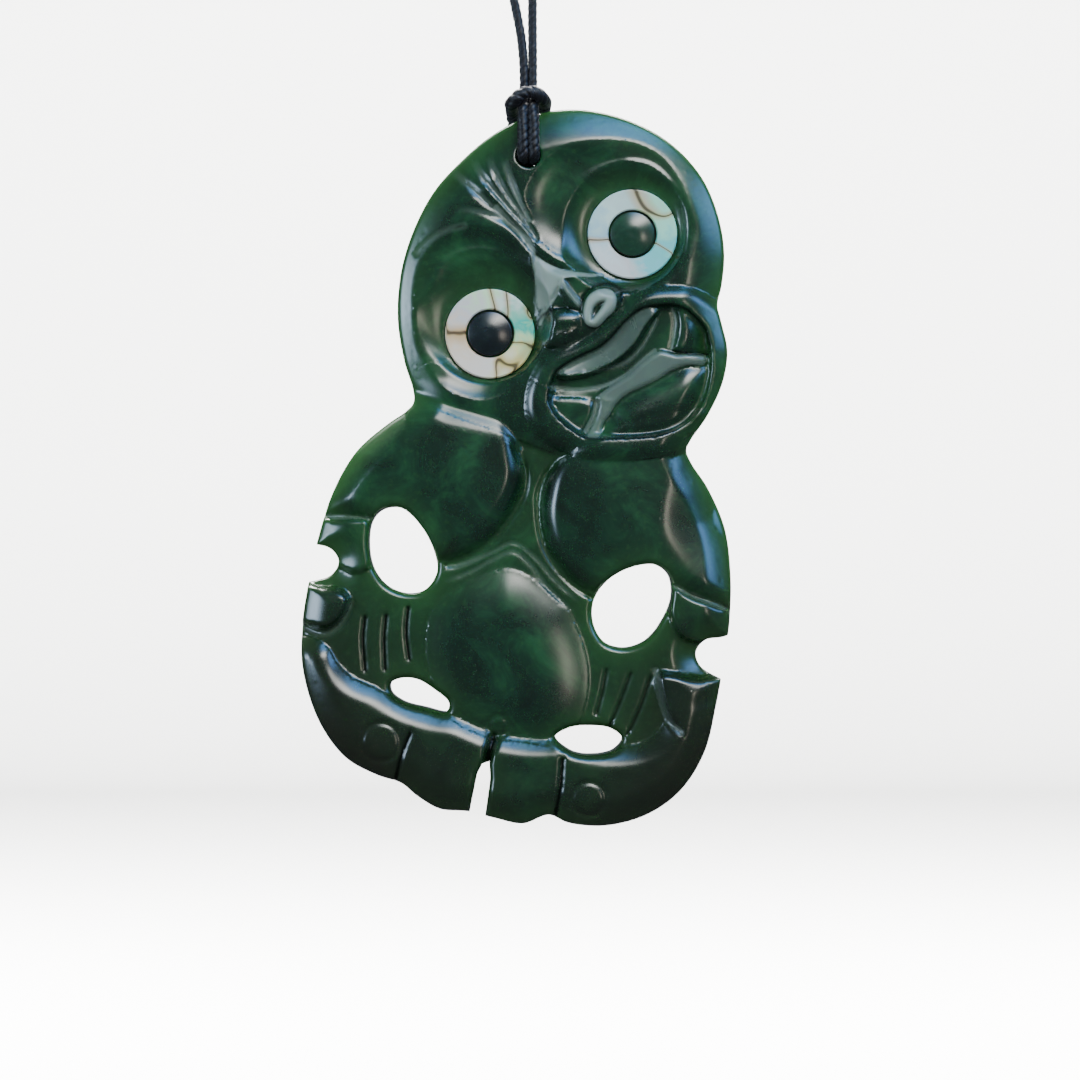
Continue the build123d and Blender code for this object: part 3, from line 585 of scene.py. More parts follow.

# The cut lines and thin ridges; the deepest cuts also carry painted shade in their beds
LINES = (
    # The brow's wrinkles, which widen outward, the thin ridges between them and the crease below
    Line(((7, -85), (-17, -67), (-39, -50), (-59, -30), (-78, -13)), 0.42, 0.4, matte=0.2, flare=1.9,
        run_out=0.3),
    Line(((8, -82), (-9, -65), (-27, -45), (-42, -26), (-56, -3)), 0.4, 0.4, matte=0.2, flare=1.9,
        run_out=0.3),
    Line(((4, -76), (-6, -61), (-21, -40), (-32, -20), (-40, 0)), 0.4, 0.38, matte=0.2, flare=1.8,
        run_out=0.3),
    Line(((1, -65), (-9, -45), (-17, -25), (-24, -4)), 0.4, 0.34, matte=0.3, flare=1.7, run_out=0.35),
    Line(((2, -82), (-13, -69), (-29, -57), (-49, -42), (-68, -20)), 0.35, -0.14, matte=0.0,
        run_out=0.3),
    Line(((3, -79), (-12, -57), (-25, -39), (-38, -20), (-49, -1)), 0.35, -0.14, matte=0.0,
        run_out=0.3),
    Line(((1, -92), (-14, -73), (-37, -60), (-54, -55), (-74, -54)), 0.45, 0.34, matte=0.2, flare=1.3,
        run_out=0.5),
    # The ridge from the brow to the nose, with the crease and the ridge down the nose's left side
    Line(((-42, -32), (-24, -52), (-9, -69), (11, -92), (26, -103), (42, -110), (67, -118)), 0.55,
        -0.28, matte=0.0),
    Line(((-32, -52), (-14, -72), (1, -88), (6, -105), (9, -125), (9, -152)), 0.5, 0.3),
    Line(((1, -92), (5, -107), (7, -127), (6, -157), (11, -172)), 0.4, -0.12, matte=0.0),
    # The edges of the brow dishes
    Line(((-111, -97), (-99, -85), (-83, -75), (-64, -70)), 0.7, 0.16, matte=0.1),
    Line(((44, -40), (58, -21), (79, -9), (100, -6), (123, -11), (142, -29), (153, -51), (156, -72),
        (153, -93)), 0.5, -0.22, matte=0.0),
    Line(((-98, -147), (-93, -122), (-80, -104), (-64, -95), (-47, -93), (-32, -96)), 0.5, -0.2,
        matte=0.0),
    # The nose's hollow and the cuts round its nostrils
    Line(((32, -123), (26, -139), (16, -154), (11, -167)), 0.45, 0.3, matte=0.8),
    Line(((32, -124), (41, -137), (51, -149)), 0.55, -0.3, matte=0.5),
    Line(((52, -153), (55, -139), (67, -130), (83, -128), (92, -135), (93, -145)), 0.45, 0.35,
        matte=0.0, dirt=0.8),
    Line(((8, -172), (11, -162), (21, -155), (34, -152), (50, -155)), 0.45, 0.4, matte=0.0, dirt=0.8),
    # The teeth, the fangs, the mouth's rim and the tongue
    Line(((32, -220), (48, -220), (64, -215), (81, -208), (95, -199), (107, -186), (115, -173),
        (123, -162), (130, -153)), 0.4, -0.2, matte=0.0),
    Line(((56, -216), (78, -212), (98, -205), (112, -192), (121, -178), (128, -163)), 0.35, 0.18,
        matte=0.2),
    Line(((143, -153), (146, -163), (145, -177), (142, -193)), 0.35, 0.25, matte=0.3),
    Line(((144, -195), (160, -197), (178, -198)), 0.4, 0.3, matte=0.0, dirt=0.7),
    Line(MOUTH_TOP, 0.4, 0.15, matte=0.0, dirt=0.7),
    Line(((20, -233), *MOUTH_FOOT), 0.4, 0.1, matte=0.0, dirt=0.6),
    Line(((32, -241), (55, -242), (83, -245)), 0.35, -0.15, matte=0.0),
    Line(((68, -245), (66, -256), (57, -275)), 0.4, 0.35, matte=0.5),
    Line(((24, -231), (50, -233), (76, -229), (98, -218), (114, -204), (126, -194)), 0.45, 0.2,
        matte=0.3),
    # The two grooves over the belly
    Line(((-92, -415), (-62, -406), (-36, -395), (-15, -386), (5, -399), (26, -422), (52, -446)), 0.42,
        0.24, matte=0.1, run_in=0.12, run_out=0.12),
    Line(((-86, -425), (-57, -414), (-33, -401), (-15, -394), (1, -406), (20, -431), (45, -455)), 0.42,
        0.24, matte=0.1, run_in=0.12, run_out=0.12),
    # The cuts beside the chest pads
    Line(((-14, -290), (-6, -305), (-2, -319), (-4, -337), (-14, -355), (-26, -373), (-42, -390),
        (-64, -402), (-82, -408)), 0.5, 0.42, matte=0.0),
    Line(((38, -299), (26, -307), (16, -321), (10, -337), (10, -355), (12, -374), (18, -394),
        (28, -412), (44, -428), (62, -440)), 0.5, 0.42, matte=0.0),
    # The grooves between the fingers of the left hand and then of the right one
    Line(((-163, -459), (-165, -481), (-163, -513)), 0.5, 0.32, matte=0.0, dirt=1.0),
    Line(((-142, -458), (-144, -481), (-143, -512)), 0.5, 0.32, matte=0.0, dirt=1.0),
    Line(((-120, -450), (-122, -475), (-119, -502)), 0.5, 0.32, matte=0.0, dirt=1.0),
    Line(((78, -512), (74, -534), (68, -557)), 0.45, 0.34, matte=0.0, dirt=0.7),
    Line(((102, -516), (92, -543), (81, -569)), 0.45, 0.34, matte=0.0, dirt=0.7),
    Line(((122, -519), (112, -549), (99, -577)), 0.45, 0.34, matte=0.0, dirt=0.7),
    # The creases at the elbows and the wrists
    Line(((-221, -358), (-189, -360), (-156, -361)), 0.4, 0.25, matte=0.2),
    Line(((-227, -469), (-203, -476), (-187, -466), (-177, -446)), 0.7, 0.4, matte=0.1),
    Line(((146, -430), (166, -440), (196, -451)), 0.45, 0.3, matte=0.2),
    Line(((127, -513), (132, -540), (140, -563), (152, -575)), 0.6, 0.35, matte=0.2),
    # The cuts across the legs, and the nick over the slit between the feet
    Line(((-118, -575), (-126, -596), (-132, -619), (-136, -634)), 0.5, 0.42, matte=0.0, dirt=1.0),
    Line(((34, -601), (32, -628), (27, -657)), 0.5, 0.42, matte=0.0, dirt=1.0),
    Line(((-35, -581), (-41, -601)), 1.0, 1.0, matte=0.0, dirt=1.0),
)
# Rings cut round the knees and the navel: middle, radius, width and depth
RINGS = (
    ((-147, -584), 2.15, 0.32, 0.34),
    ((60, -641), 1.9, 0.32, 0.34),
    ((-30, -568), 1.15, 0.28, 0.34),
)


@dataclass
class CarvedStone:
    """The nephrite figure, carved in relief on a sheet of fine triangles. Sizes are in millimetres, and
    depths are above the stone's flat back.

    Attributes:
        spacing: How far apart the front's free points are, and back_spacing the back's. The steps are
            those of the points on the silhouette, the gaps' loops and the guide lines.
        guide_clear: How far a guide line stays from the stone's edges.
        point_clear: How far a free point stays from a held one, as a share of the spacing.
        join: Points nearer than this are one.
        edge_rows: Rows of points beside each edge: how far off, and every how many points.
        ground: The depth of the carved ground, and high_ground where the painted glow on the deep
            ground ends.
        rim_reach_head: How far in the rim starts to fall, and rim_fall_head how far it falls. The body
            has its own, and the two blend over neck_blend from neck_height down.
        bowls: The middle and the radius of each eye socket.
        line_half: Half a cut line's bed, as a share of its width.
        body_foot_slope: How steeply a body form falls outside its outline.
        wall_shares: Where on the walls their rows of points are, from the front to the back.
        wall_glow: How strong the painted glow is on the walls, the light that the thin nephrite lets
            through. The edges and the carved ground have their own shares.
    """

    name: str = "carved_figure"
    spacing: float = 0.21
    back_spacing: float = 1.1
    outline_step: float = 0.15
    loop_step: float = 0.2
    guide_step: float = 0.3
    guide_clear: float = 0.35
    point_clear: float = 0.55
    row_clear: float = 0.9
    join: float = 1e-5
    edge_rows: tuple = ((0.03, 1), (0.1, 1), (0.22, 1), (0.42, 1), (0.66, 1), (0.92, 2))
    edge_reach: float = 5.0
    polish_rounds: int = 3
    polish_share: float = 0.6
    polish_clear: float = 1.0
    ground: float = 5.5
    high_ground: float = 6.3
    ground_fade: float = 1.3
    rim_reach_head: float = 4.2
    rim_reach_body: float = 3.0
    rim_fall_head: float = 1.6
    rim_fall_body: float = 1.35
    rim_power: float = 1.4
    neck_height: float = -29.0
    neck_blend: float = 4.0
    edge_round: float = 0.3
    gap_round: float = 0.75
    back_round: float = 0.8
    back_gap_round: float = 0.5
    back_fall: float = 0.12
    back_reach: float = 4.0
    bore_radius: float = 1.35
    bore_countersink: float = 0.25
    ring_seat: float = 5.06
    seat_wall: float = 0.02
    seat_clear: float = 0.1
    seat_floor: float = 4.29
    bowl_floor: float = 5.12
    bowl_rise: float = 1.35
    bowl_power: float = 1.8
    bowl_out_slope: float = 2.5
    bowl_blend: float = 0.12
    bowls: tuple = (((95, -71), 7.2), ((-46, -161), 7.4))
    line_half: float = 0.75
    line_reach: float = 0.8
    form_reach: float = 1.6
    matte_edge: float = 0.25
    body_foot_slope: float = 3.0
    wall_shares: tuple = (0.33, 0.66)
    wall_glow: float = 0.45
    edge_glow: float = 0.5
    edge_fade: float = 1.4
    ground_glow: float = 0.35

    def __post_init__(self) -> None:
        """Draw the outlines and find the eyes' middles."""
        self.outline = smooth(on_figure(OUTLINE), step=self.outline_step)
        self.gaps = [smooth(on_figure(places), step=self.loop_step) for places in GAPS.values()]
        slit = on_figure(FOOT_SLIT)
        sides = [np.array(ends) for ends in zip(slit, np.roll(slit, -1, 0))]
        self.gaps.append(np.concatenate([smooth(side, False, self.loop_step)[:-1] for side in sides]))
        self.notches = [smooth(on_figure(places), step=self.loop_step) for places in NOTCHES.values()]
        self.bore = circle(np.zeros(2), self.bore_radius, self.outline_step)
        middles = [middle_of(node) / MM for node in ("right_eye_ring", "left_eye_ring")]
        self.eyes = [np.array([middle.x, middle.z - BORE_HEIGHT]) for middle in middles]

    def in_stone(self, points: np.ndarray) -> np.ndarray:
        """Find which points are on the stone, and not in a gap, a notch or the bore.

        Args:
            points: Places in millimetres.

        Returns:
            True or false for each point.
        """
        answer = is_inside(points, self.outline)
        for loop in [*self.gaps, *self.notches, self.bore]:
            answer &= ~is_inside(points, loop)
        return answer

    def edge_distances(self, points: np.ndarray, reach: float) -> Edges:
        """Measure how far points are from the stone's edges.

        Args:
            points: Places in millimetres.
            reach: The distance beyond which nothing is worked out.

        Returns:
            The distances to the silhouette and its notches, to the gaps and to the bore.
        """
        outer, gaps = (
            np.minimum.reduce([line_distance(points, loop, True, reach) for loop in loops])
            for loops in ([self.outline, *self.notches], self.gaps)
        )
        return outer, gaps, line_distance(points, self.bore, True, reach)

    def front_depth(self, points: np.ndarray, edges: Edges) -> Fields:
        """Carve the front.

        Args:
            points: Places in millimetres.
            edges: How far they are from the stone's edges.

        Returns:
            A depth, a share of matte finish and a share of painted shade for each point.
        """
        depth = np.full(len(points), self.ground)
        matte, dirt = np.zeros(len(points)), np.zeros(len(points))
        for form in FORMS:
            depth = self.shape_form(points, depth, form)
            if form.matte:
                inside = loop_depth(points, smooth(on_grid(form.outline)), 2 * self.matte_edge)
                matte = np.clip(matte + form.matte * np.clip(inside / self.matte_edge, 0, 1), 0, 1)
        for line in LINES:
            bed = self.line_bed(points, line)
            depth -= line.cut * bed**2
            matte = np.maximum(matte, line.matte * bed)
            # Painted shade: the deepest cuts' beds are darkened
            dirt = np.maximum(dirt, line.dirt * bed**2)
        for middle, radius, width, cut in RINGS:
            far = np.abs(np.hypot(*(points - on_grid((middle,))[0]).T) - radius)
            depth -= cut * np.clip(1 - (far / width) ** 2, 0, 1) ** 2
        depth = self.sink_eyes(points, depth)
        return self.round_edges(points, depth, edges), np.clip(matte, 0, 1), dirt

    def line_bed(self, points: np.ndarray, line: Line) -> np.ndarray:
        """Find how deep in a cut line's bed points are.

        Args:
            points: Places in millimetres.
            line: The cut line.

        Returns:
            One at the bed's middle, falling to zero at its sides and over its run-in and run-out.
        """
        way = smooth(on_grid(line.places), False)
        run = way[-1] - way[0]
        share = np.clip((points - way[0]) @ run / (run @ run), 0, 1)
        half = line.width * self.line_half * (1 + (line.flare - 1) * share)
        far = line_distance(points, way, False, line.width * self.line_reach * line.flare)
        bed = np.clip(1 - (far / half) ** 2, 0, 1)
        for end, run_share in ((share, line.run_in), (1 - share, line.run_out)):
            bed *= np.clip(end / run_share, 0, 1) if run_share else 1.0
        return bed

    def shape_form(self, points: np.ndarray, depth: np.ndarray, form: Form) -> np.ndarray:
        """Put one form into the surface.

        Args:
            points: Places in millimetres.
            depth: The surface's depth so far.
            form: The form.

        Returns:
            The surface's new depth.
        """
        reach = max(form.reach, 1.0) * self.form_reach
        inside = loop_depth(points, smooth(on_grid(form.outline)), reach)
        if form.kind is Carve.BODY:
            body = form.foot + (form.amount - form.foot) * swell(inside, form.reach, form.power)
            for middle, wide, tall, rise in form.mounds:
                x, z = ((points - on_grid((middle,))[0]) / (wide, tall)).T
                body = body + rise * np.exp(-(x * x + z * z)) * swell(inside, form.reach, 2)
            body = np.where(inside < 0, form.foot + self.body_foot_slope * inside, body)
            return higher(depth, body, form.blend)
        if form.kind is Carve.BEVEL:
            if form.crest:
                far = line_distance(points, smooth(on_grid(form.crest), False), False, form.reach)
                inside = np.where(inside > 0, far, 0)
            inside = np.clip(inside, 0, form.reach)
            return depth - form.amount * (np.sqrt(inside**2 + form.blend**2) - form.blend)
        change = form.amount * swell(inside, form.reach, form.power)
        return depth + change if form.kind is Carve.RAISE else depth - change

    def sink_eyes(self, points: np.ndarray, depth: np.ndarray) -> np.ndarray:
        """Cut each eye socket's bowl and the seat of its shell ring.

        Args:
            points: Places in millimetres.
            depth: The surface's depth so far.

        Returns:
            The surface's new depth.
        """
        for eye, (middle, radius) in zip(self.eyes, self.bowls):
            from_seat = np.hypot(*(points - eye).T) - self.ring_seat
            to_rim = radius - np.hypot(*(points - on_grid((middle,))[0]).T)
            out = np.maximum(from_seat, 0)
            share = np.where(to_rim <= 0, 1.0, out / np.maximum(out + np.maximum(to_rim, 0), NOTHING))
            bowl = self.bowl_floor + self.bowl_rise * share**self.bowl_power
            bowl += self.bowl_out_slope * np.maximum(-to_rim, 0)
            depth = lower(depth, bowl, self.bowl_blend)
            depth = np.where(from_seat < 0, self.seat_floor, depth)
        return depth

    def round_edges(self, points: np.ndarray, depth: np.ndarray, edges: Edges) -> np.ndarray:
        """Round the silhouette's rim, the gaps' edges and the bore's mouth.

        Args:
            points: Places in millimetres.
            depth: The front's depth so far.
            edges: How far the points are from the stone's edges.

        Returns:
            The front's new depth.
        """
        outer, gaps, bore = edges
        neck = np.clip((points[:, 1] - self.neck_height) / self.neck_blend, 0, 1)
        reach = self.rim_reach_body + neck * (self.rim_reach_head - self.rim_reach_body)
        fall = self.rim_fall_body + neck * (self.rim_fall_head - self.rim_fall_body)
        depth = depth - fall * (1 - np.clip(outer / reach, 0, 1)) ** self.rim_power
        depth = depth - rounding(outer, self.edge_round) - rounding(gaps, self.gap_round)
        return depth - rounding(bore, self.bore_countersink)

    def back_depth(self, edges: Edges) -> np.ndarray:
        """Shape the back: flat, with a rounded rim and a slight fall towards it.

        Args:
            edges: How far its points are from the stone's edges.

        Returns:
            A depth for each point.
        """
        outer, gaps, bore = edges
        rounds = rounding(outer, self.back_round) + rounding(gaps, self.back_gap_round)
        fall = self.back_fall * (1 - np.clip(outer / self.back_reach, 0, 1)) ** 2
        return rounds + rounding(bore, self.bore_countersink) + fall

    def sheet(self, spacing: float, guides: Guides) -> tuple[np.ndarray, np.ndarray]:
        """Triangulate the stone's face.

        Args:
            spacing: How far apart its free points are.
            guides: Lines that the triangles keep to, and whether each is closed.

        Returns:
            The points and the triangles.
        """
        borders = [self.outline, *self.gaps, *self.notches, self.bore]
        fixed, edges, count = [], [], 0
        for line, closed in [(loop, True) for loop in borders] + guides:
            fixed.append(line)
            last = len(line) if closed else len(line) - 1
            edges += [(count + i, count + (i + 1) % len(line)) for i in range(last)]
            count += len(line)
        rows = [self.beside(loop, far)[::every] for loop in borders for far, every in self.edge_rows]
        held = np.concatenate(fixed + rows)
        low, high = self.outline.min(0), self.outline.max(0)
        grid = []
        for i, z in enumerate(np.arange(low[1], high[1], spacing * ROW_RISE)):
            x = np.arange(low[0] + (i % 2) * spacing / 2, high[0], spacing)
            grid.append(np.stack([x, np.full(len(x), z)], 1))
        grid = np.concatenate(grid)
        tree = tree_of(held)
        clear = np.array([tree.find((x, z, 0.0))[2] > spacing * self.point_clear for x, z in grid])
        points = [Vector(p) for p in np.concatenate([held, grid[clear]]).tolist()]
        found = geometry.delaunay_2d_cdt(points, edges, [], 0, self.join, False)
        points, faces = np.array([tuple(p) for p in found[0]]), np.array(found[2])
        return points, faces[self.in_stone(points[faces].mean(1))]

    def beside(self, loop: np.ndarray, far: float) -> np.ndarray:
        """Set a row of points beside a closed line, on both sides.

        Args:
            loop: The line's points.
            far: How far from the line they are.

        Returns:
            Those of them that are in the stone.
        """
        run = np.roll(loop, -1, 0) - np.roll(loop, 1, 0)
        out = np.stack([run[:, 1], -run[:, 0]], 1) / np.maximum(np.hypot(*run.T), NOTHING)[:, None]
        both = np.concatenate([loop + far * out, loop - far * out])
        near = line_distance(both, loop, True, 2 * far)
        return both[self.in_stone(both) & (near > far * self.row_clear)]

    def guides(self) -> Guides:
        """Gather the lines that the front's triangles keep to.

        Returns:
            The seats' walls, and what is in the stone of each cut line and form's outline.
        """
        seats = (self.ring_seat - self.seat_wall, self.ring_seat + self.seat_wall)
        lines = [(circle(eye, radius), True) for eye in self.eyes for radius in seats]
        for line in LINES:
            lines += self.parts_in_stone(smooth(on_grid(line.places), False, self.guide_step))
        for form in FORMS:
            loop = smooth(on_grid(form.outline), step=self.guide_step)
            lines += self.parts_in_stone(np.concatenate([loop, loop[:1]]))
        return lines

    def parts_in_stone(self, line: np.ndarray) -> Guides:
        """Cut a line where it leaves the stone.

        Args:
            line: The line's points.

        Returns:
            Its stretches that are well inside the stone.
        """
        far = np.minimum.reduce(self.edge_distances(line, 1.0))
        good = self.in_stone(line) & (far > self.guide_clear)
        changes = np.nonzero(np.diff(np.concatenate([[False], good, [False]]).astype(int)))[0]
        stretches = [line[a:b] for a, b in zip(changes[::2], changes[1::2])]
        return [(part, False) for part in stretches if len(part) > 2]

    def build(self) -> bpy.types.Object:
        """Make the stone's mesh.

        Returns:
            The stone, as one closed mesh with its finish's attributes.
        """
        front, front_faces = self.sheet(self.spacing, self.guides())
        edges = self.edge_distances(front, self.edge_reach)
        front_depth, matte, dirt = self.front_depth(front, edges)
        front_depth = self.polish(front, front_faces, front_depth, edges)
        back, back_faces = self.sheet(self.back_spacing, [])
        back_edges = self.edge_distances(back, self.edge_reach)
        back_depth = self.back_depth(back_edges)
        points = np.concatenate([front, back])
        depth = np.concatenate([front_depth, back_depth])
        below = tree_of(back, len(front))
        walls, wall_depth, wall_faces = self.walls(points, depth, front_faces, below)
        # A painted glow of light let through the thin stone: at the edges, on the walls and on the
        # deeply carved ground
        ground = np.clip((self.high_ground - front_depth) / self.ground_fade, 0, 1)
        near = [np.minimum(outer, gaps) for outer, gaps, bore in (edges, back_edges)]
        thin = [self.edge_glow * np.exp(-far / self.edge_fade) for far in near]
        thin = [np.clip(thin[0] + self.ground_glow * ground, 0, 1), thin[1]]
        thin.append(np.full(len(walls), self.wall_glow))
        plain = np.zeros(len(back) + len(walls))
        x, z = np.concatenate([points, walls]).T
        away = STONE_THICK / 2 - np.concatenate([depth, wall_depth])
        faces = np.concatenate([front_faces, back_faces[:, ::-1] + len(front), wall_faces])
        mesh = new_mesh(self.name, np.stack([x, away, z + BORE_HEIGHT], 1), faces.tolist())
        # The first field carries the painted glow of light through the stone, and the last the painted
        # shade in the cuts
        fields = {"thin": thin, "matte": [matte, plain], "dirt": [dirt, plain]}
        for name, parts in fields.items():
            values = np.concatenate(parts).astype(np.float32)
            mesh.attributes.new(name, "FLOAT", "POINT").data.foreach_set("value", values)
        return to_object(mesh)

    def polish(
        self, points: np.ndarray, faces: np.ndarray, depth: np.ndarray, edges: Edges
    ) -> np.ndarray:
        """Soften the carving as polishing does, away from the seats and the rims.

        Args:
            points: The front's points.
            faces: Its triangles.
            depth: Its depth.
            edges: How far the points are from the stone's edges.

        Returns:
            The softened depth.
        """
        hold = np.minimum.reduce(edges) < self.polish_clear
        for eye in self.eyes:
            hold |= np.abs(np.hypot(*(points - eye).T) - self.ring_seat) < self.seat_clear
        one = faces[:, [0, 1, 2]].ravel()
        other = faces[:, [1, 2, 0]].ravel()
        size = len(points)
        count = np.bincount(one, minlength=size) + np.bincount(other, minlength=size)
        for _ in range(self.polish_rounds):
            total = np.bincount(one, depth[other], size) + np.bincount(other, depth[one], size)
            mean = total / np.maximum(count, 1)
            soft = (1 - self.polish_share) * depth + self.polish_share * mean
            depth = np.where(hold, depth, soft)
        return depth

    def walls(
        self, points: np.ndarray, depth: np.ndarray, front: np.ndarray, back: kdtree.KDTree
    ) -> Fields:
        """Join the front's rim to the back's with walls of three bands.

        Args:
            points: The front's and the back's points.
            depth: Their depth.
            front: The front's triangles.
            back: Finds the back's point that is under a place.

        Returns:
            The new points, their depth and the walls' triangles.
        """
        sides = {(int(a), int(b)) for i in range(3) for a, b in front[:, [i, (i + 1) % 3]]}
        rim = [(a, b) for a, b in sides if (b, a) not in sides]
        added, added_depth, faces = [], [], []
        rows: dict[int, list[int]] = {}
        for i in sorted({a for a, b in rim}):
            below = back.find((points[i][0], points[i][1], 0.0))[1]
            first = len(points) + len(added)
            rows[i] = [i, *range(first, first + len(self.wall_shares)), below]
            for share in self.wall_shares:
                added.append(points[i])
                added_depth.append(depth[i] + share * (depth[below] - depth[i]))
        for a, b in rim:
            for k in range(len(self.wall_shares) + 1):
                one, two, three, four = rows[a][k], rows[a][k + 1], rows[b][k + 1], rows[b][k]
                faces += [(one, two, three), (one, three, four)]
        return np.array(added), np.array(added_depth), np.array(faces)


@dataclass(frozen=True)
class PolishedNephrite:
    """Nephrite jade, ground and polished. The eye gets a deep, slightly translucent green under a
    glassy surface, a painted glow of light where the stone is thin, painted shade of olive black in its
    lower corners, dull grey in the cuts that no polishing wheel reaches, with a painted highlight of
    that grey on the nose bridge, and painted shade in the deepest cuts."""

    name: str = "polished_nephrite"
    deep: str = "#0b1d14"
    body: str = "#11301e"
    clear: str = "#1d4d2b"
    # Painted glow of light through thin stone; also the colour of the pale flecks
    edge: str = "#305c29"
    # Painted shade towards the lower corners
    olive: str = "#1b1b10"
    # The pale frost of the unpolished cuts; on the nose bridge it is a painted highlight
    dull: str = "#a2b2a1"
    # Painted shade in the deepest cuts
    cut_shade_colour: str = "#060a07"
    cloud_mm: float = 7.0
    cloud_detail: float = 5.0
    cloud_roughness: float = 0.6
    cloud_distortion: float = 0.8
    cloud_stops: tuple = (0.32, 0.5, 0.7)
    fleck_mm: float = 0.6
    fleck_detail: float = 3.0
    fleck_range: tuple = (0.55, 0.75)
    fleck_share: float = 0.16
    corner_range: tuple = (0.382, 0.408)
    corner_drift: float = 0.02
    corner_share: float = 0.95
    frost_and_highlight_share: float = 0.8
    frost_roughness: float = 0.28
    polish_roughness: tuple = (0.18, 0.27)
    cut_shade_gloss: tuple = (0.5, 0.08)
    mark_mm: float = 1.6
    mark_detail: float = 4.0
    mark_strength: float = 0.06
    mark_depth: float = 0.12 * MM
    ior: float = 1.61
    glow: float = 0.15
    glow_radius: tuple = (0.35, 1.0, 0.4)
    glow_scale: float = 1.5 * MM

    def material(self) -> bpy.types.Material:
        """Build the stone's material.

        Returns:
            The material. It reads the mesh's attributes for the painted glow, the matte finish and the
            painted shade in the cuts.
        """
        material, tree, shader = start_material(self.name)
        place = add_node(tree, "ShaderNodeTexCoord").outputs["Object"]
        thin, matte, dirt = (
            add_node(tree, "ShaderNodeAttribute", attribute_name=name).outputs["Fac"]
            for name in ("thin", "matte", "dirt")
        )
        # Slow clouds of deeper and clearer green, as in the stone itself
        clouds = add_node(tree, "ShaderNodeTexNoise", {
            "Vector": place,
            "Scale": scale_of(self.cloud_mm),
            "Detail": self.cloud_detail,
            "Roughness": self.cloud_roughness,
            "Distortion": self.cloud_distortion,
        }).outputs["Fac"]
        green = add_node(tree, "ShaderNodeValToRGB", {"Fac": clouds})
        set_ramp(green, list(zip(self.cloud_stops, (self.deep, self.body, self.clear))))
        # Faint pale flecks, which are mineral grains close under the surface
        grains = {"Vector": place, "Scale": scale_of(self.fleck_mm), "Detail": self.fleck_detail}
        flecks = add_node(tree, "ShaderNodeMapRange", {
            "Value": add_node(tree, "ShaderNodeTexNoise", grains).outputs["Fac"],
            "From Min": self.fleck_range[0],
            "From Max": self.fleck_range[1],
            "To Max": self.fleck_share,
        })
        # The polish doesn't reach into the cuts, which stay grey; the same pale mix paints a highlight
        # on the nose bridge
        frost_and_highlight = add_node(tree, "ShaderNodeMath", {0: matte, 1: self.frost_and_highlight_share}, operation="MULTIPLY")
        colour = green.outputs["Color"]
        # Over the green: the painted glow, the pale flecks, the painted corner shade, the pale frost
        # and the painted shade in the cuts
        for share, over in (
            (thin, self.edge),
            (flecks.outputs[0], self.edge),
            (self.corners(tree, place, clouds), self.olive),
            (frost_and_highlight.outputs[0], self.dull),
            (dirt, self.cut_shade_colour),
        ):
            layer = {"Factor": share, 6: colour, 7: linear(over)}
            colour = add_node(tree, "ShaderNodeMix", layer, data_type="RGBA").outputs[2]
        # The painted shade in the deepest cuts also takes away their gloss
        gloss = add_node(tree, "ShaderNodeMapRange", {
            "Value": dirt,
            "To Min": self.cut_shade_gloss[0],
            "To Max": self.cut_shade_gloss[1],
        })
        # An uneven polish softens the reflections in places
        wear = add_node(tree, "ShaderNodeMapRange", {
            "Value": clouds,
            "To Min": self.polish_roughness[0],
            "To Max": self.polish_roughness[1],
        })
        parts = {0: matte, 1: self.frost_roughness, 2: wear.outputs[0]}
        rough = add_node(tree, "ShaderNodeMath", parts, operation="MULTIPLY_ADD")
        marks = {"Vector": place, "Scale": scale_of(self.mark_mm), "Detail": self.mark_detail}
        bump = add_node(tree, "ShaderNodeBump", {
            "Height": add_node(tree, "ShaderNodeTexNoise", marks).outputs["Fac"],
            "Strength": self.mark_strength,
            "Distance": self.mark_depth,
        })
        feed(tree, shader, {
            "Base Color": colour,
            "Specular IOR Level": gloss.outputs[0],
            "Roughness": rough.outputs[0],
            "Normal": bump.outputs["Normal"],
            "IOR": self.ior,
            "Subsurface Weight": self.glow,
            "Subsurface Radius": self.glow_radius,
            "Subsurface Scale": self.glow_scale,
        })
        return material

    def corners(self, tree: Tree, place: Socket, clouds: Socket) -> Socket:
        """Paint shade on the stone towards its two lower corners.

        Args:
            tree: The node tree.
            place: The place on the stone.
            clouds: The clouds, which make the border uneven.

        Returns:
            How far the olive black painted shade has crept in.
        """
        parts = add_node(tree, "ShaderNodeSeparateXYZ", {"Vector": place}).outputs
        aside = add_node(tree, "ShaderNodeMath", {0: parts["X"]}, operation="ABSOLUTE").outputs[0]
        low = add_node(tree, "ShaderNodeMath", {0: aside, 1: parts["Z"]}, operation="SUBTRACT")
        strays = {0: clouds, 1: self.corner_drift, 2: low.outputs[0]}
        drift = add_node(tree, "ShaderNodeMath", strays, operation="MULTIPLY_ADD")
        return add_node(tree, "ShaderNodeMapRange", {
            "Value": drift.outputs[0],
            "From Min": self.corner_range[0],
            "From Max": self.corner_range[1],
            "To Max": self.corner_share,
        }).outputs[0]


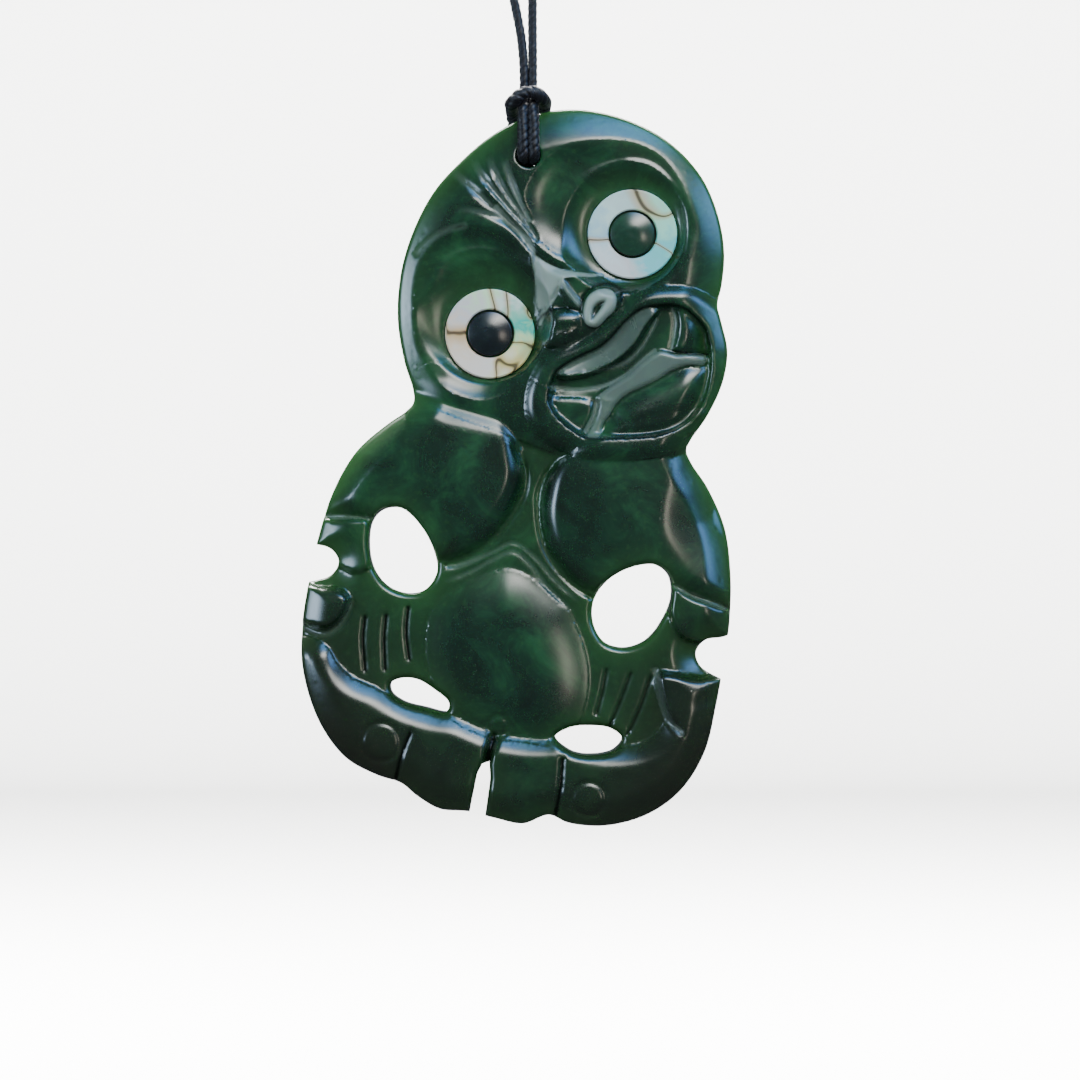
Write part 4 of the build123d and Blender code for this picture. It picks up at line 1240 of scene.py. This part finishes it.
# The cord's route as part.py has it, in millimetres right, away and up from the bore, with a few more
# points beside the hitch's tight turns
SIDE = 0.47
LEG = 0.58
FACE = -3.45
BACK = 4.8
HITCH_TOP = 7.7
NECK_ROUTE = (
    (-SIDE, -1, HITCH_TOP), (-SIDE, -1, 12), (-1.75, -0.9, 18), (-3.6, -0.7, 29), (-7.3, -0.4, 50),
    (-14.4, -0.1, 90), (-24, 0, 146), (-32.9, 0, 202), (-39.4, 0, 250), (-41.8, 0, 279.2),
    (-30.6, 0, 298.6), (-11.2, 0, 309.8), (11.2, 0, 309.8), (30.6, 0, 298.6), (41.8, 0, 279.2),
    (38.6, 0, 250), (31.4, 0, 202), (21.8, 0, 146), (11.6, -0.1, 90), (4.2, -0.4, 50), (0.9, -0.7, 28),
    (0.42, -0.9, 18), (SIDE, -1, 12), (SIDE, -1, HITCH_TOP),
)
HITCH_ROUTE = (
    (-SIDE, -1, HITCH_TOP), (-SIDE, -1.15, 7.1), (-SIDE, -1.7, 6.4), (-LEG, FACE + 0.35, 4.6),
    (-LEG, FACE, 2.8), (-LEG, FACE, 1.2), (-LEG, FACE + 0.1, 0.1), (-0.46, FACE + 1, -0.34),
    (-0.3, -0.6, -0.48), (0.1, 0.8, -0.56), (-0.35, 2.6, -0.4), (-0.72, BACK - 0.4, -0.1),
    (-0.85, BACK, 1.2), (-1.25, BACK, 2.8), (-1.65, BACK, 4), (-1.8, 4.2, 5), (-1.85, 3, 5.5),
    (-1.85, 1.2, 5.9), (-1.9, -0.8, 5.8), (-1.95, -2.1, 5.7), (-1.6, -3, 6.1), (-0.7, -3.2, 6.9),
    (0.4, -3.2, 7.1), (1.1, -3.1, 6.8), (1.6, -2.3, 6.3), (1.75, -0.4, 6.2), (1.8, 1.4, 6.3),
    (1.85, 3, 6.35), (1.8, 4.3, 6.1), (1.65, BACK, 5), (1.2, BACK, 3), (0.85, BACK, 1.2),
    (0.72, BACK - 0.4, -0.1), (0.5, 2.6, 0.2), (0.3, 0.8, 0.4), (0.5, -0.6, -0.3),
    (0.5, FACE + 1, -0.38), (LEG, FACE + 0.1, 0.1), (LEG, FACE, 1.2), (LEG, FACE, 2.8),
    (LEG, FACE + 0.35, 4.6), (SIDE, -1.7, 6.4), (SIDE, -1.15, 7.1), (SIDE, -1, HITCH_TOP),
)


# The corners of a face between two rings, as steps round and along
UV_CORNERS = ((0, 0), (1, 0), (1, 1), (0, 1))


@dataclass
class TwistedCord:
    """A cord of three waxed strands, laid up with a twist along a route. Sizes are in millimetres.

    Attributes:
        name: The object's name.
        route: Places from the bore.
        node: The CAD node that it replaces.
        loose: How much thicker the strands lie halfway along, where the cord bends and they loosen.
        valley: How deep the valleys between the strands are, as a share of the radius.
        pitch: The length in which the strands go round once.
        step: How far apart the section's rings are.
        start_side: A direction that the first ring's start is turned to.
    """

    name: str
    route: tuple
    node: str
    loose: float = 0.0
    radius: float = 0.57
    strands: int = 3
    valley: float = 0.18
    valley_power: float = 1.3
    pitch: float = 2.6
    step: float = 0.22
    sides: int = 21
    spline_steps: int = 24
    start_side: tuple = (0.3, 1, 0)

    def path(self) -> np.ndarray:
        """Bend a spline along the route.

        Returns:
            Even points along it.
        """
        curve = bpy.data.curves.new(self.name + "_route", "CURVE")
        curve.dimensions = "3D"
        curve.resolution_u = self.spline_steps
        spline = curve.splines.new("NURBS")
        spline.points.add(len(self.route) - 1)
        for point, (x, y, z) in zip(spline.points, self.route):
            point.co = (x * MM, y * MM, (z + BORE_HEIGHT) * MM, 1)
        spline.order_u = 3
        spline.use_endpoint_u = True
        holder = bpy.data.objects.new(curve.name, curve)
        line = bpy.data.meshes.new_from_object(holder)
        points = np.array([tuple(v.co) for v in line.vertices]) / MM
        bpy.data.objects.remove(holder)
        bpy.data.curves.remove(curve)
        bpy.data.meshes.remove(line)
        far = np.concatenate([[0], np.cumsum(np.linalg.norm(np.diff(points, axis=0), axis=1))])
        even = np.linspace(0, far[-1], int(far[-1] / self.step) + 1)
        return np.stack([np.interp(even, far, points[:, i]) for i in range(3)], 1)

    def section_rings(self, path: np.ndarray) -> np.ndarray:
        """Put the twisted section at each point of the path.

        Args:
            path: Even points along the cord.

        Returns:
            A ring of points for each of them.
        """
        runs = np.gradient(path, axis=0)
        runs /= np.linalg.norm(runs, axis=1)[:, None]
        side = np.zeros_like(path)
        side[0] = np.cross(runs[0], self.start_side)
        side[0] /= np.linalg.norm(side[0])
        for i in range(1, len(path)):
            side[i] = side[i - 1] - runs[i] * (side[i - 1] @ runs[i])
            side[i] /= np.linalg.norm(side[i])
        other = np.cross(runs, side)
        turn = np.arange(len(path)) * self.step / self.pitch * 2 * math.pi
        angles = np.arange(self.sides) * 2 * math.pi / self.sides
        dip = 1 - np.abs(np.cos(self.strands / 2 * angles))
        along = np.linspace(0, 1, len(path))
        size = self.radius * (1 + self.loose * (4 * along * (1 - along)) ** 0.5)
        reach = size[:, None] * (1 - self.valley * dip**self.valley_power)[None, :]
        around = (angles[None, :] + turn[:, None])[..., None]
        out = np.cos(around) * side[:, None, :] + np.sin(around) * other[:, None, :]
        return path[:, None, :] + reach[..., None] * out

    def build(self) -> bpy.types.Object:
        """Sweep the twisted section along the route, closed at both ends.

        Returns:
            The cord's object, with its UV map running along the strands.
        """
        rings = self.section_rings(self.path())
        rows, count = rings.shape[:2]
        last = (rows - 1) * count
        caps = [tuple(range(count))[::-1], tuple(range(last, last + count))]
        mesh = new_mesh(self.name, rings.reshape(-1, 3), tube_faces(rows, count) + caps)
        places = [(k, i) for i in range(rows - 1) for k in range(count)]
        corners = [(k + over, i + up) for k, i in places for over, up in UV_CORNERS]
        corners += [(0, 0)] * count + [(0, rows)] * count
        flat = np.array(corners, np.float32) * (1 / count, self.step * MM)
        mesh.uv_layers.new(name="along").data.foreach_set("uv", flat.astype(np.float32).ravel())
        cord = to_object(mesh)
        for cap in mesh.polygons[-2:]:
            cap.use_smooth = False
        return cord


@dataclass
class ClosingKnot:
    """The knot that closes the loop: a barrel of turns of the same cord round the two ends.

    Attributes:
        start: Where the straight run of the cord's route that the knot is on starts, and end its end.
        share: How far along that run the knot sits.
        cord_radius: Half the cord's thickness.
        turn_steps: How many places each turn has.
    """

    start: tuple = (38.6, 0, 250)
    end: tuple = (31.4, 0, 202)
    share: float = 0.5
    length: float = 5.0
    radius: float = 1.4
    cord_radius: float = 0.5
    end_room: float = 1.1
    turns: float = 4.5
    turn_steps: int = 8
    name: str = "cord_knot"

    def route(self) -> tuple:
        """Wind the knot round the cord's run.

        Returns:
            Places of the turns, in millimetres from the bore.
        """
        start, end = np.array(self.start, float), np.array(self.end, float)
        run = (end - start) / np.linalg.norm(end - start)
        middle = start + self.share * (end - start)
        away = np.array((0, 1, 0))
        across = np.cross(run, away)
        count = int(self.turns * self.turn_steps)
        places = []
        for i in range(count + 1):
            turn = 2 * math.pi * self.turns * i / count
            along = (i / count - 0.5) * (self.length - self.end_room)
            out = (self.radius - self.cord_radius) * (math.cos(turn) * across + math.sin(turn) * away)
            places.append(tuple(middle + along * run + out))
        return tuple(places)


@dataclass(frozen=True)
class WaxedCord:
    """Twisted cord, dyed black, with a thin coat of wax. The eye gets fine fibres that run with the
    strands and a dull bluish sheen on their crests."""

    name: str = "waxed_black_cord"
    black: str = "#060608"
    slate: str = "#0c0d12"
    sheen: str = "#74717f"
    sheen_stops: tuple = (0.42, 0.58, 0.78)
    girth_mm: float = 3.58
    fibre_wide_mm: float = 0.094
    fibre_long_mm: float = 1.43
    fibre_detail: float = 4.0
    fibre_roughness: float = 0.65
    fibre_strength: float = 0.7
    fibre_depth: float = 0.08 * MM
    roughness: float = 0.33
    ior: float = 1.45
    fuzz: float = 0.05

    def material(self) -> bpy.types.Material:
        """Build the cord's material.

        Returns:
            The material. It reads the UV map named along.
        """
        material, tree, shader = start_material(self.name)
        uv = add_node(tree, "ShaderNodeUVMap", uv_map="along").outputs["UV"]
        # The map goes from 0 to 1 round the cord and is in metres along it
        fibre_size = (self.girth_mm / self.fibre_wide_mm, 1 / (self.fibre_long_mm * MM), 1.0)
        lay = add_node(tree, "ShaderNodeMapping", {"Vector": uv, "Scale": fibre_size}).outputs[0]
        fibres = add_node(tree, "ShaderNodeTexNoise", {
            "Vector": lay,
            "Scale": 1.0,
            "Detail": self.fibre_detail,
            "Roughness": self.fibre_roughness,
        }).outputs["Fac"]
        wax = add_node(tree, "ShaderNodeValToRGB", {"Fac": fibres})
        set_ramp(wax, list(zip(self.sheen_stops, (self.black, self.slate, self.sheen))))
        bump = add_node(tree, "ShaderNodeBump", {
            "Height": fibres,
            "Strength": self.fibre_strength,
            "Distance": self.fibre_depth,
        })
        feed(tree, shader, {
            "Base Color": wax.outputs["Color"],
            "Normal": bump.outputs["Normal"],
            "Roughness": self.roughness,
            "IOR": self.ior,
            "Sheen Weight": self.fuzz,
        })
        return material


@dataclass
class Pupil:
    """A polished post that stands up through a shell ring, domed on top with a small dimple. Sizes are
    in millimetres, and depths are above the stone's back.

    Attributes:
        name: The object's name.
        ring: The CAD node of its shell ring.
        side_room: How far below the dome's edge the post's straight side ends.
    """

    name: str
    ring: str
    radius: float = 2.45
    foot: float = 4.25
    shoulder: float = 5.75
    side_room: float = 0.25
    top: float = 6.3
    dome_power: float = 1.7
    dome_steps: int = 14
    dimple: float = 0.1
    dimple_radius: float = 0.4
    sides: int = 72

    def profile(self) -> list[tuple[float, float]]:
        """Draw half of the post's section.

        Returns:
            Its radius and depth at places from its foot to its middle on top.
        """
        rows = [(self.radius, self.foot), (self.radius, self.shoulder - self.side_room)]
        for i in range(1, self.dome_steps + 1):
            share = math.cos(math.pi / 2 * i / self.dome_steps)
            dimple = self.dimple * math.exp(-((self.radius * share / self.dimple_radius) ** 2))
            rise = (self.top - self.shoulder) * (1 - share**self.dome_power)
            rows.append((self.radius * share, self.shoulder + rise - dimple))
        return rows

    def build(self) -> bpy.types.Object:
        """Turn the post's profile into a mesh.

        Returns:
            The post's object, closed at its foot.
        """
        middle = middle_of(self.ring) / MM
        *rows, (_, top) = self.profile()
        turns = np.arange(self.sides) * 2 * math.pi / self.sides
        face = STONE_THICK / 2
        rings = [
            (middle.x + far * math.cos(turn), face - depth, middle.z + far * math.sin(turn))
            for far, depth in rows
            for turn in turns
        ]
        points = np.array([*rings, (middle.x, face - top, middle.z)])
        last = (len(rows) - 1) * self.sides
        faces = tube_faces(len(rows), self.sides)
        faces += [(last + k, len(points) - 1, last + (k + 1) % self.sides) for k in range(self.sides)]
        faces.append(tuple(range(self.sides)))
        return to_object(new_mesh(self.name, points, faces))


class Side(Enum):
    """Which eye a shell ring is in: each is cut from a different part of the shell."""

    LEFT = "left"
    RIGHT = "right"


# The nacre's colours round each ring, from the left through the bottom and the right
NACRE = {
    Side.LEFT: [
        (0.0, "#f6d8ae"), (0.12, "#f6e4cc"), (0.26, "#f3e6d3"), (0.36, "#eeeaa2"), (0.44, "#b4e8b0"),
        (0.52, "#4fc3a6"), (0.6, "#8fd0ae"), (0.68, "#dfe8d6"), (0.78, "#d4f0bc"), (0.88, "#dcd6cc"),
        (1.0, "#f6d8ae"),
    ],
    Side.RIGHT: [
        (0.0, "#a9cccf"), (0.1, "#e0e6dc"), (0.24, "#dcd8ce"), (0.34, "#86d3cd"), (0.44, "#7fd2c6"),
        (0.54, "#a8ecca"), (0.64, "#b2e8c0"), (0.74, "#c4d6c8"), (0.88, "#cde6d4"), (1.0, "#a9cccf"),
    ],
}


@dataclass(frozen=True)
class PauaShell:
    """Paua shell, cut across its layers and polished. The eye gets nacre in soft patches of cream, mint
    and turquoise, with thin dark growth lines in an amber stain, under a faint play of colours.

    Attributes:
        side: The eye that it is in.
        drift: How far the patches stray round the ring, as a share of it.
        line_share: How wide the growth lines are beside the left ring's.
    """

    side: Side
    patch_mm: float = 2.4
    patch_detail: float = 4.0
    patch_distortion: float = 1.0
    drift: float = 0.34
    layer_mm: float = 5.9
    layer_detail: float = 1.0
    layer_distortion: float = 0.6
    line_share: float = 1.0
    line_range: tuple = (0.004, 0.014)
    line_strength: float = 0.85
    line_colour: str = "#3c3226"
    amber_range: tuple = (0.01, 0.06)
    amber_strength: float = 0.6
    amber_colour: str = "#c89a4a"
    roughness: float = 0.18
    ior: float = 1.56
    coat: float = 0.3
    film_nanometres: float = 380.0
    film_ior: float = 1.5

    def material(self) -> bpy.types.Material:
        """Build one ring's shell.

        Returns:
            The material, centred on its ring.
        """
        material, tree, shader = start_material(f"{self.side.value}_paua_shell")
        place = add_node(tree, "ShaderNodeTexCoord").outputs["Object"]
        middle = tuple(middle_of(f"{self.side.value}_eye_ring"))
        from_middle = {0: place, 1: middle}
        centred = add_node(tree, "ShaderNodeVectorMath", from_middle, operation="SUBTRACT").outputs[0]
        parts = add_node(tree, "ShaderNodeSeparateXYZ", {"Vector": centred}).outputs
        turn = add_node(tree, "ShaderNodeMath", {0: parts["Z"], 1: parts["X"]}, operation="ARCTAN2")
        around = add_node(tree, "ShaderNodeMapRange", {
            "Value": turn.outputs[0],
            "From Min": -math.pi,
            "From Max": math.pi,
        })
        patches = add_node(tree, "ShaderNodeTexNoise", {
            "Vector": place,
            "Scale": scale_of(self.patch_mm),
            "Detail": self.patch_detail,
            "Distortion": self.patch_distortion,
        })
        strays = {0: patches.outputs["Fac"], 1: self.drift, 2: -self.drift / 2}
        stray = add_node(tree, "ShaderNodeMath", strays, operation="MULTIPLY_ADD")
        at = add_node(
            tree, "ShaderNodeMath", {0: around.outputs[0], 1: stray.outputs[0]}, operation="ADD"
        )
        share = add_node(tree, "ShaderNodeMath", {0: at.outputs[0]}, operation="FRACT").outputs[0]
        nacre = add_node(tree, "ShaderNodeValToRGB", {"Fac": share})
        set_ramp(nacre, NACRE[self.side])
        # The shell's layers show as growth lines where the cut meets them
        layers = add_node(tree, "ShaderNodeTexNoise", {
            "Vector": centred,
            "Scale": scale_of(self.layer_mm),
            "Detail": self.layer_detail,
            "Distortion": self.layer_distortion,
        })
        apart = add_node(
            tree, "ShaderNodeMath", {0: layers.outputs["Fac"], 1: 0.5}, operation="SUBTRACT"
        )
        near = add_node(tree, "ShaderNodeMath", {0: apart.outputs[0]}, operation="ABSOLUTE").outputs[0]
        colour = nacre.outputs["Color"]
        for ends, strength, over in (
            (self.amber_range, self.amber_strength, self.amber_colour),
            (self.line_range, self.line_strength, self.line_colour),
        ):
            fade = add_node(tree, "ShaderNodeMapRange", {
                "Value": near,
                "From Min": ends[0] * self.line_share,
                "From Max": ends[1] * self.line_share,
                "To Min": strength,
                "To Max": 0.0,
            })
            layer = {"Factor": fade.outputs[0], 6: colour, 7: linear(over)}
            colour = add_node(tree, "ShaderNodeMix", layer, data_type="RGBA").outputs[2]
        feed(tree, shader, {
            "Base Color": colour,
            "Roughness": self.roughness,
            "IOR": self.ior,
            "Coat Weight": self.coat,
            "Thin Film Thickness": self.film_nanometres,
            "Thin Film IOR": self.film_ior,
        })
        return material


@dataclass(frozen=True)
class SoftBox:
    """One soft light: where it hangs, in metres from the figure's middle, and what it gives."""

    name: str
    place: tuple[float, float, float]
    size: tuple[float, float]
    watts: float
    colour: str = "#ffffff"
    rim: str = "#ffffff"
    aim: tuple[float, float, float] = (0.0, 0.0, 0.0)
    glow: float = 2.5

    def hang(self, middle: Vector) -> None:
        """Hang the light and turn it to its aim.

        Args:
            middle: The figure's middle.
        """
        light = bpy.data.lights.new(self.name, "AREA")
        light.shape = "RECTANGLE"
        light.size, light.size_y = self.size
        light.energy = self.watts
        light.use_nodes = True
        tree = light.node_tree
        # The cloth of a soft box is brightest in its middle and fades to its rim
        across = add_node(tree, "ShaderNodeNewGeometry").outputs["Parametric"]
        from_middle = {0: across, 1: (0.5, 0.5, 0.0)}
        off = add_node(tree, "ShaderNodeVectorMath", from_middle, operation="SUBTRACT").outputs[0]
        far = add_node(tree, "ShaderNodeVectorMath", {0: off}, operation="LENGTH").outputs["Value"]
        fade = {"Value": far, "From Min": 0.5, "From Max": 0.0, "To Max": self.glow}
        share = add_node(tree, "ShaderNodeMapRange", fade, interpolation_type="SMOOTHSTEP").outputs[0]
        colours = {"Factor": share, 6: linear(self.rim), 7: linear(self.colour)}
        hue = add_node(tree, "ShaderNodeMix", colours, data_type="RGBA").outputs[2]
        feed(tree, tree.nodes["Emission"], {"Color": hue, "Strength": share})
        lamp = bpy.data.objects.new(self.name, light)
        bpy.context.scene.collection.objects.link(lamp)
        lamp.location = middle + Vector(self.place)
        way = middle + Vector(self.aim) - lamp.location
        lamp.rotation_euler = way.to_track_quat("-Z", "Y").to_euler()


@dataclass
class Studio:
    """The pale floor and backdrop, the soft lights and the camera, in metres.

    Attributes:
        distance: How far the camera is from the stone's middle plane.
        bore_px: Where the bore is in the photograph.
        middle: The height of the figure's middle.
        tooth_mm: How far apart the paper's fibres stand, in millimetres.
    """

    distance: float = 0.6
    sensor: float = 36.0
    frame_px: int = 1080
    bore_px: tuple[float, float] = (528.5, 157.0)
    middle: float = -0.345
    floor: float = -0.47
    floor_size: float = 2.4
    floor_middle: float = 1.3
    wall_height: float = 1.9
    corner_radius: float = 0.6
    corner_steps: int = 24
    tooth_mm: float = 1.1
    tooth_detail: float = 2.0
    tooth_strength: float = 0.05
    paper_colour: str = "#f6f6f4"
    paper_roughness: float = 0.9
    room_colour: str = "#c9d3de"
    room_strength: float = 0.22
    boxes: tuple[SoftBox, ...] = (
        SoftBox("low_sky_box", (0.13, -0.37, 0.27), (0.5, 0.22), 3.1, "#fbf9f2", "#bcd2dc"),
        SoftBox("high_sky_box", (0.13, -0.26, 0.37), (0.5, 0.28), 2.6, "#5fa4e8", "#3f82cc"),
        SoftBox("blue_box", (0.38, -0.22, 0.17), (0.3, 0.34), 1.7, "#6fa6ec", "#3f6fb8"),
        SoftBox("left_box", (-0.4, -0.25, 0.04), (0.22, 0.4), 2.5, "#c8e0f8", "#5f93d0"),
        SoftBox("side_window", (0.22, -0.42, 0.0), (0.07, 0.24), 0.28, "#fff2e2", "#f4e4d0"),
        SoftBox("backdrop_box", (0.0, 0.35, 0.7), (1.6, 0.6), 210.0, aim=(0.0, 1.6, -0.3)),
        SoftBox("left_wall_box", (-0.75, 0.55, 0.05), (0.5, 0.8), 180.0, aim=(0.1, 2.2, 0.1)),
        SoftBox("right_wall_box", (0.75, 0.55, 0.05), (0.5, 0.8), 180.0, aim=(-0.1, 2.2, 0.1)),
    )

    def paper(self) -> bpy.types.Material:
        """Build pale matte studio paper, with the faint tooth of its fibres.

        Returns:
            The material.
        """
        material, tree, shader = start_material("studio_paper")
        fibres = add_node(tree, "ShaderNodeTexNoise", {
            "Vector": add_node(tree, "ShaderNodeTexCoord").outputs["Object"],
            "Scale": scale_of(self.tooth_mm),
            "Detail": self.tooth_detail,
        })
        tooth = {"Height": fibres.outputs["Fac"], "Strength": self.tooth_strength}
        feed(tree, shader, {
            "Base Color": linear(self.paper_colour),
            "Roughness": self.paper_roughness,
            "Normal": add_node(tree, "ShaderNodeBump", tooth).outputs["Normal"],
        })
        return material

    def sweep(self) -> bpy.types.Object:
        """Model the floor and the backdrop as one sheet with a round corner.

        Returns:
            The sheet.
        """
        bpy.ops.object.select_all(action="DESELECT")
        bpy.ops.mesh.primitive_plane_add(size=self.floor_size, location=(0, self.floor_middle, 0))
        sheet = bpy.context.object
        sheet.name = "studio_sweep"
        self.pick_far_edge(sheet)
        bpy.ops.mesh.extrude_region_move(TRANSFORM_OT_translate={"value": (0, 0, self.wall_height)})
        self.pick_far_edge(sheet)
        bpy.ops.mesh.bevel(offset=self.corner_radius, segments=self.corner_steps, affect="EDGES")
        bpy.ops.object.mode_set(mode="OBJECT")
        sheet.data.transform(Matrix.Translation((0, 0, self.floor)))
        sheet.data.shade_smooth()
        return sheet

    def pick_far_edge(self, sheet: bpy.types.Object) -> None:
        """Select the edge where the floor ends, in edit mode.

        Args:
            sheet: The sheet, whose floor is still at height zero.
        """
        bpy.ops.object.mode_set(mode="OBJECT")
        for part in (sheet.data.vertices, sheet.data.polygons):
            for item in part:
                item.select = False
        half_up = self.wall_height / 2
        for edge in sheet.data.edges:
            # The sheet's own places are from the floor's middle
            ends = [sheet.data.vertices[v].co for v in edge.vertices]
            edge.select = all(end.y > 0 and end.z < half_up for end in ends)
        bpy.ops.object.mode_set(mode="EDIT")
        bpy.ops.mesh.select_mode(type="EDGE")

    def build(self) -> None:
        """Set up the sweep, the lights, the world and the camera."""
        sheet = self.sweep()
        # The stone's flat back would mirror the whole bright sweep and look white
        sheet.visible_glossy = False
        sheet.data.materials.append(self.paper())
        world = bpy.data.worlds.new("studio")
        bpy.context.scene.world = world
        world.use_nodes = True
        room = {"Color": linear(self.room_colour), "Strength": self.room_strength}
        feed(world.node_tree, world.node_tree.nodes["Background"], room)
        for box in self.boxes:
            box.hang(Vector((0, 0, self.middle)))
        self.camera()

    def camera(self) -> None:
        """Look straight at the figure from the front, framed as in the photograph."""
        data = bpy.data.cameras.new("camera")
        data.sensor_width = self.sensor
        data.lens = self.sensor * self.distance / (self.frame_px * GRID * MM)
        camera = bpy.data.objects.new("camera", data)
        bpy.context.scene.collection.objects.link(camera)
        right = (self.frame_px / 2 - self.bore_px[0]) * GRID * MM
        up = (BORE_HEIGHT + (self.bore_px[1] - self.frame_px / 2) * GRID) * MM
        camera.location = (right, -self.distance, up)
        camera.rotation_euler = (math.pi / 2, 0, 0)
        bpy.context.scene.camera = camera


def fit(piece: bpy.types.Object, material: bpy.types.Material, node: str) -> None:
    """Finish a piece and put it in a CAD node's place.

    Args:
        piece: The piece.
        material: Its material.
        node: The CAD node that it stands for.
    """
    piece.data.materials.append(material)
    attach(piece, ROOT)
    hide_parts(node)
    log.info("%s, in %s, stands for %s", piece.name, material.name, node)


def main() -> None:
    """Build each sub-assembly in order, finish its pieces and report them."""
    logging.basicConfig(level=logging.INFO, format="%(name)s: %(message)s")
    fit(CarvedStone().build(), PolishedNephrite().material(), "greenstone_figure")
    # In the photo the left pupil is almost black with a cold sheen, and the right one is plain green
    dark = PolishedNephrite("blue_black_nephrite", "#0b1211", "#121b1c", "#1b2728", "#243230")
    pale = PolishedNephrite("pale_nephrite", "#142a1e", "#1c3c2a", "#274e36", "#2f5c3c")
    for name, ring, nephrite in (
        ("left_pupil", "left_eye_ring", dark),
        ("right_pupil", "right_eye_ring", pale),
    ):
        fit(Pupil(name, ring).build(), nephrite.material(), "greenstone_figure")
    # The right ring is cut where the shell's layers lie wider apart
    right_shell = PauaShell(Side.RIGHT, layer_mm=16.0, line_share=0.3)
    for node, shell in (("left_eye_ring", PauaShell(Side.LEFT)), ("right_eye_ring", right_shell)):
        nacre = shell.material()
        bpy.data.objects[node].material_slots[0].material = nacre
        log.info("%s is the CAD's own, in %s", node, nacre.name)
    waxed = WaxedCord().material()
    knot = ClosingKnot()
    for cord in (
        TwistedCord("hitch_cord", HITCH_ROUTE, "cord_hitch", loose=0.38),
        TwistedCord("neck_loop", NECK_ROUTE, "neck_cord", step=0.35, sides=15),
        TwistedCord(knot.name, knot.route(), "closing_knot"),
    ):
        fit(cord.build(), waxed, cord.node)
    Studio().build()


if __name__ == "__main__":
    main()
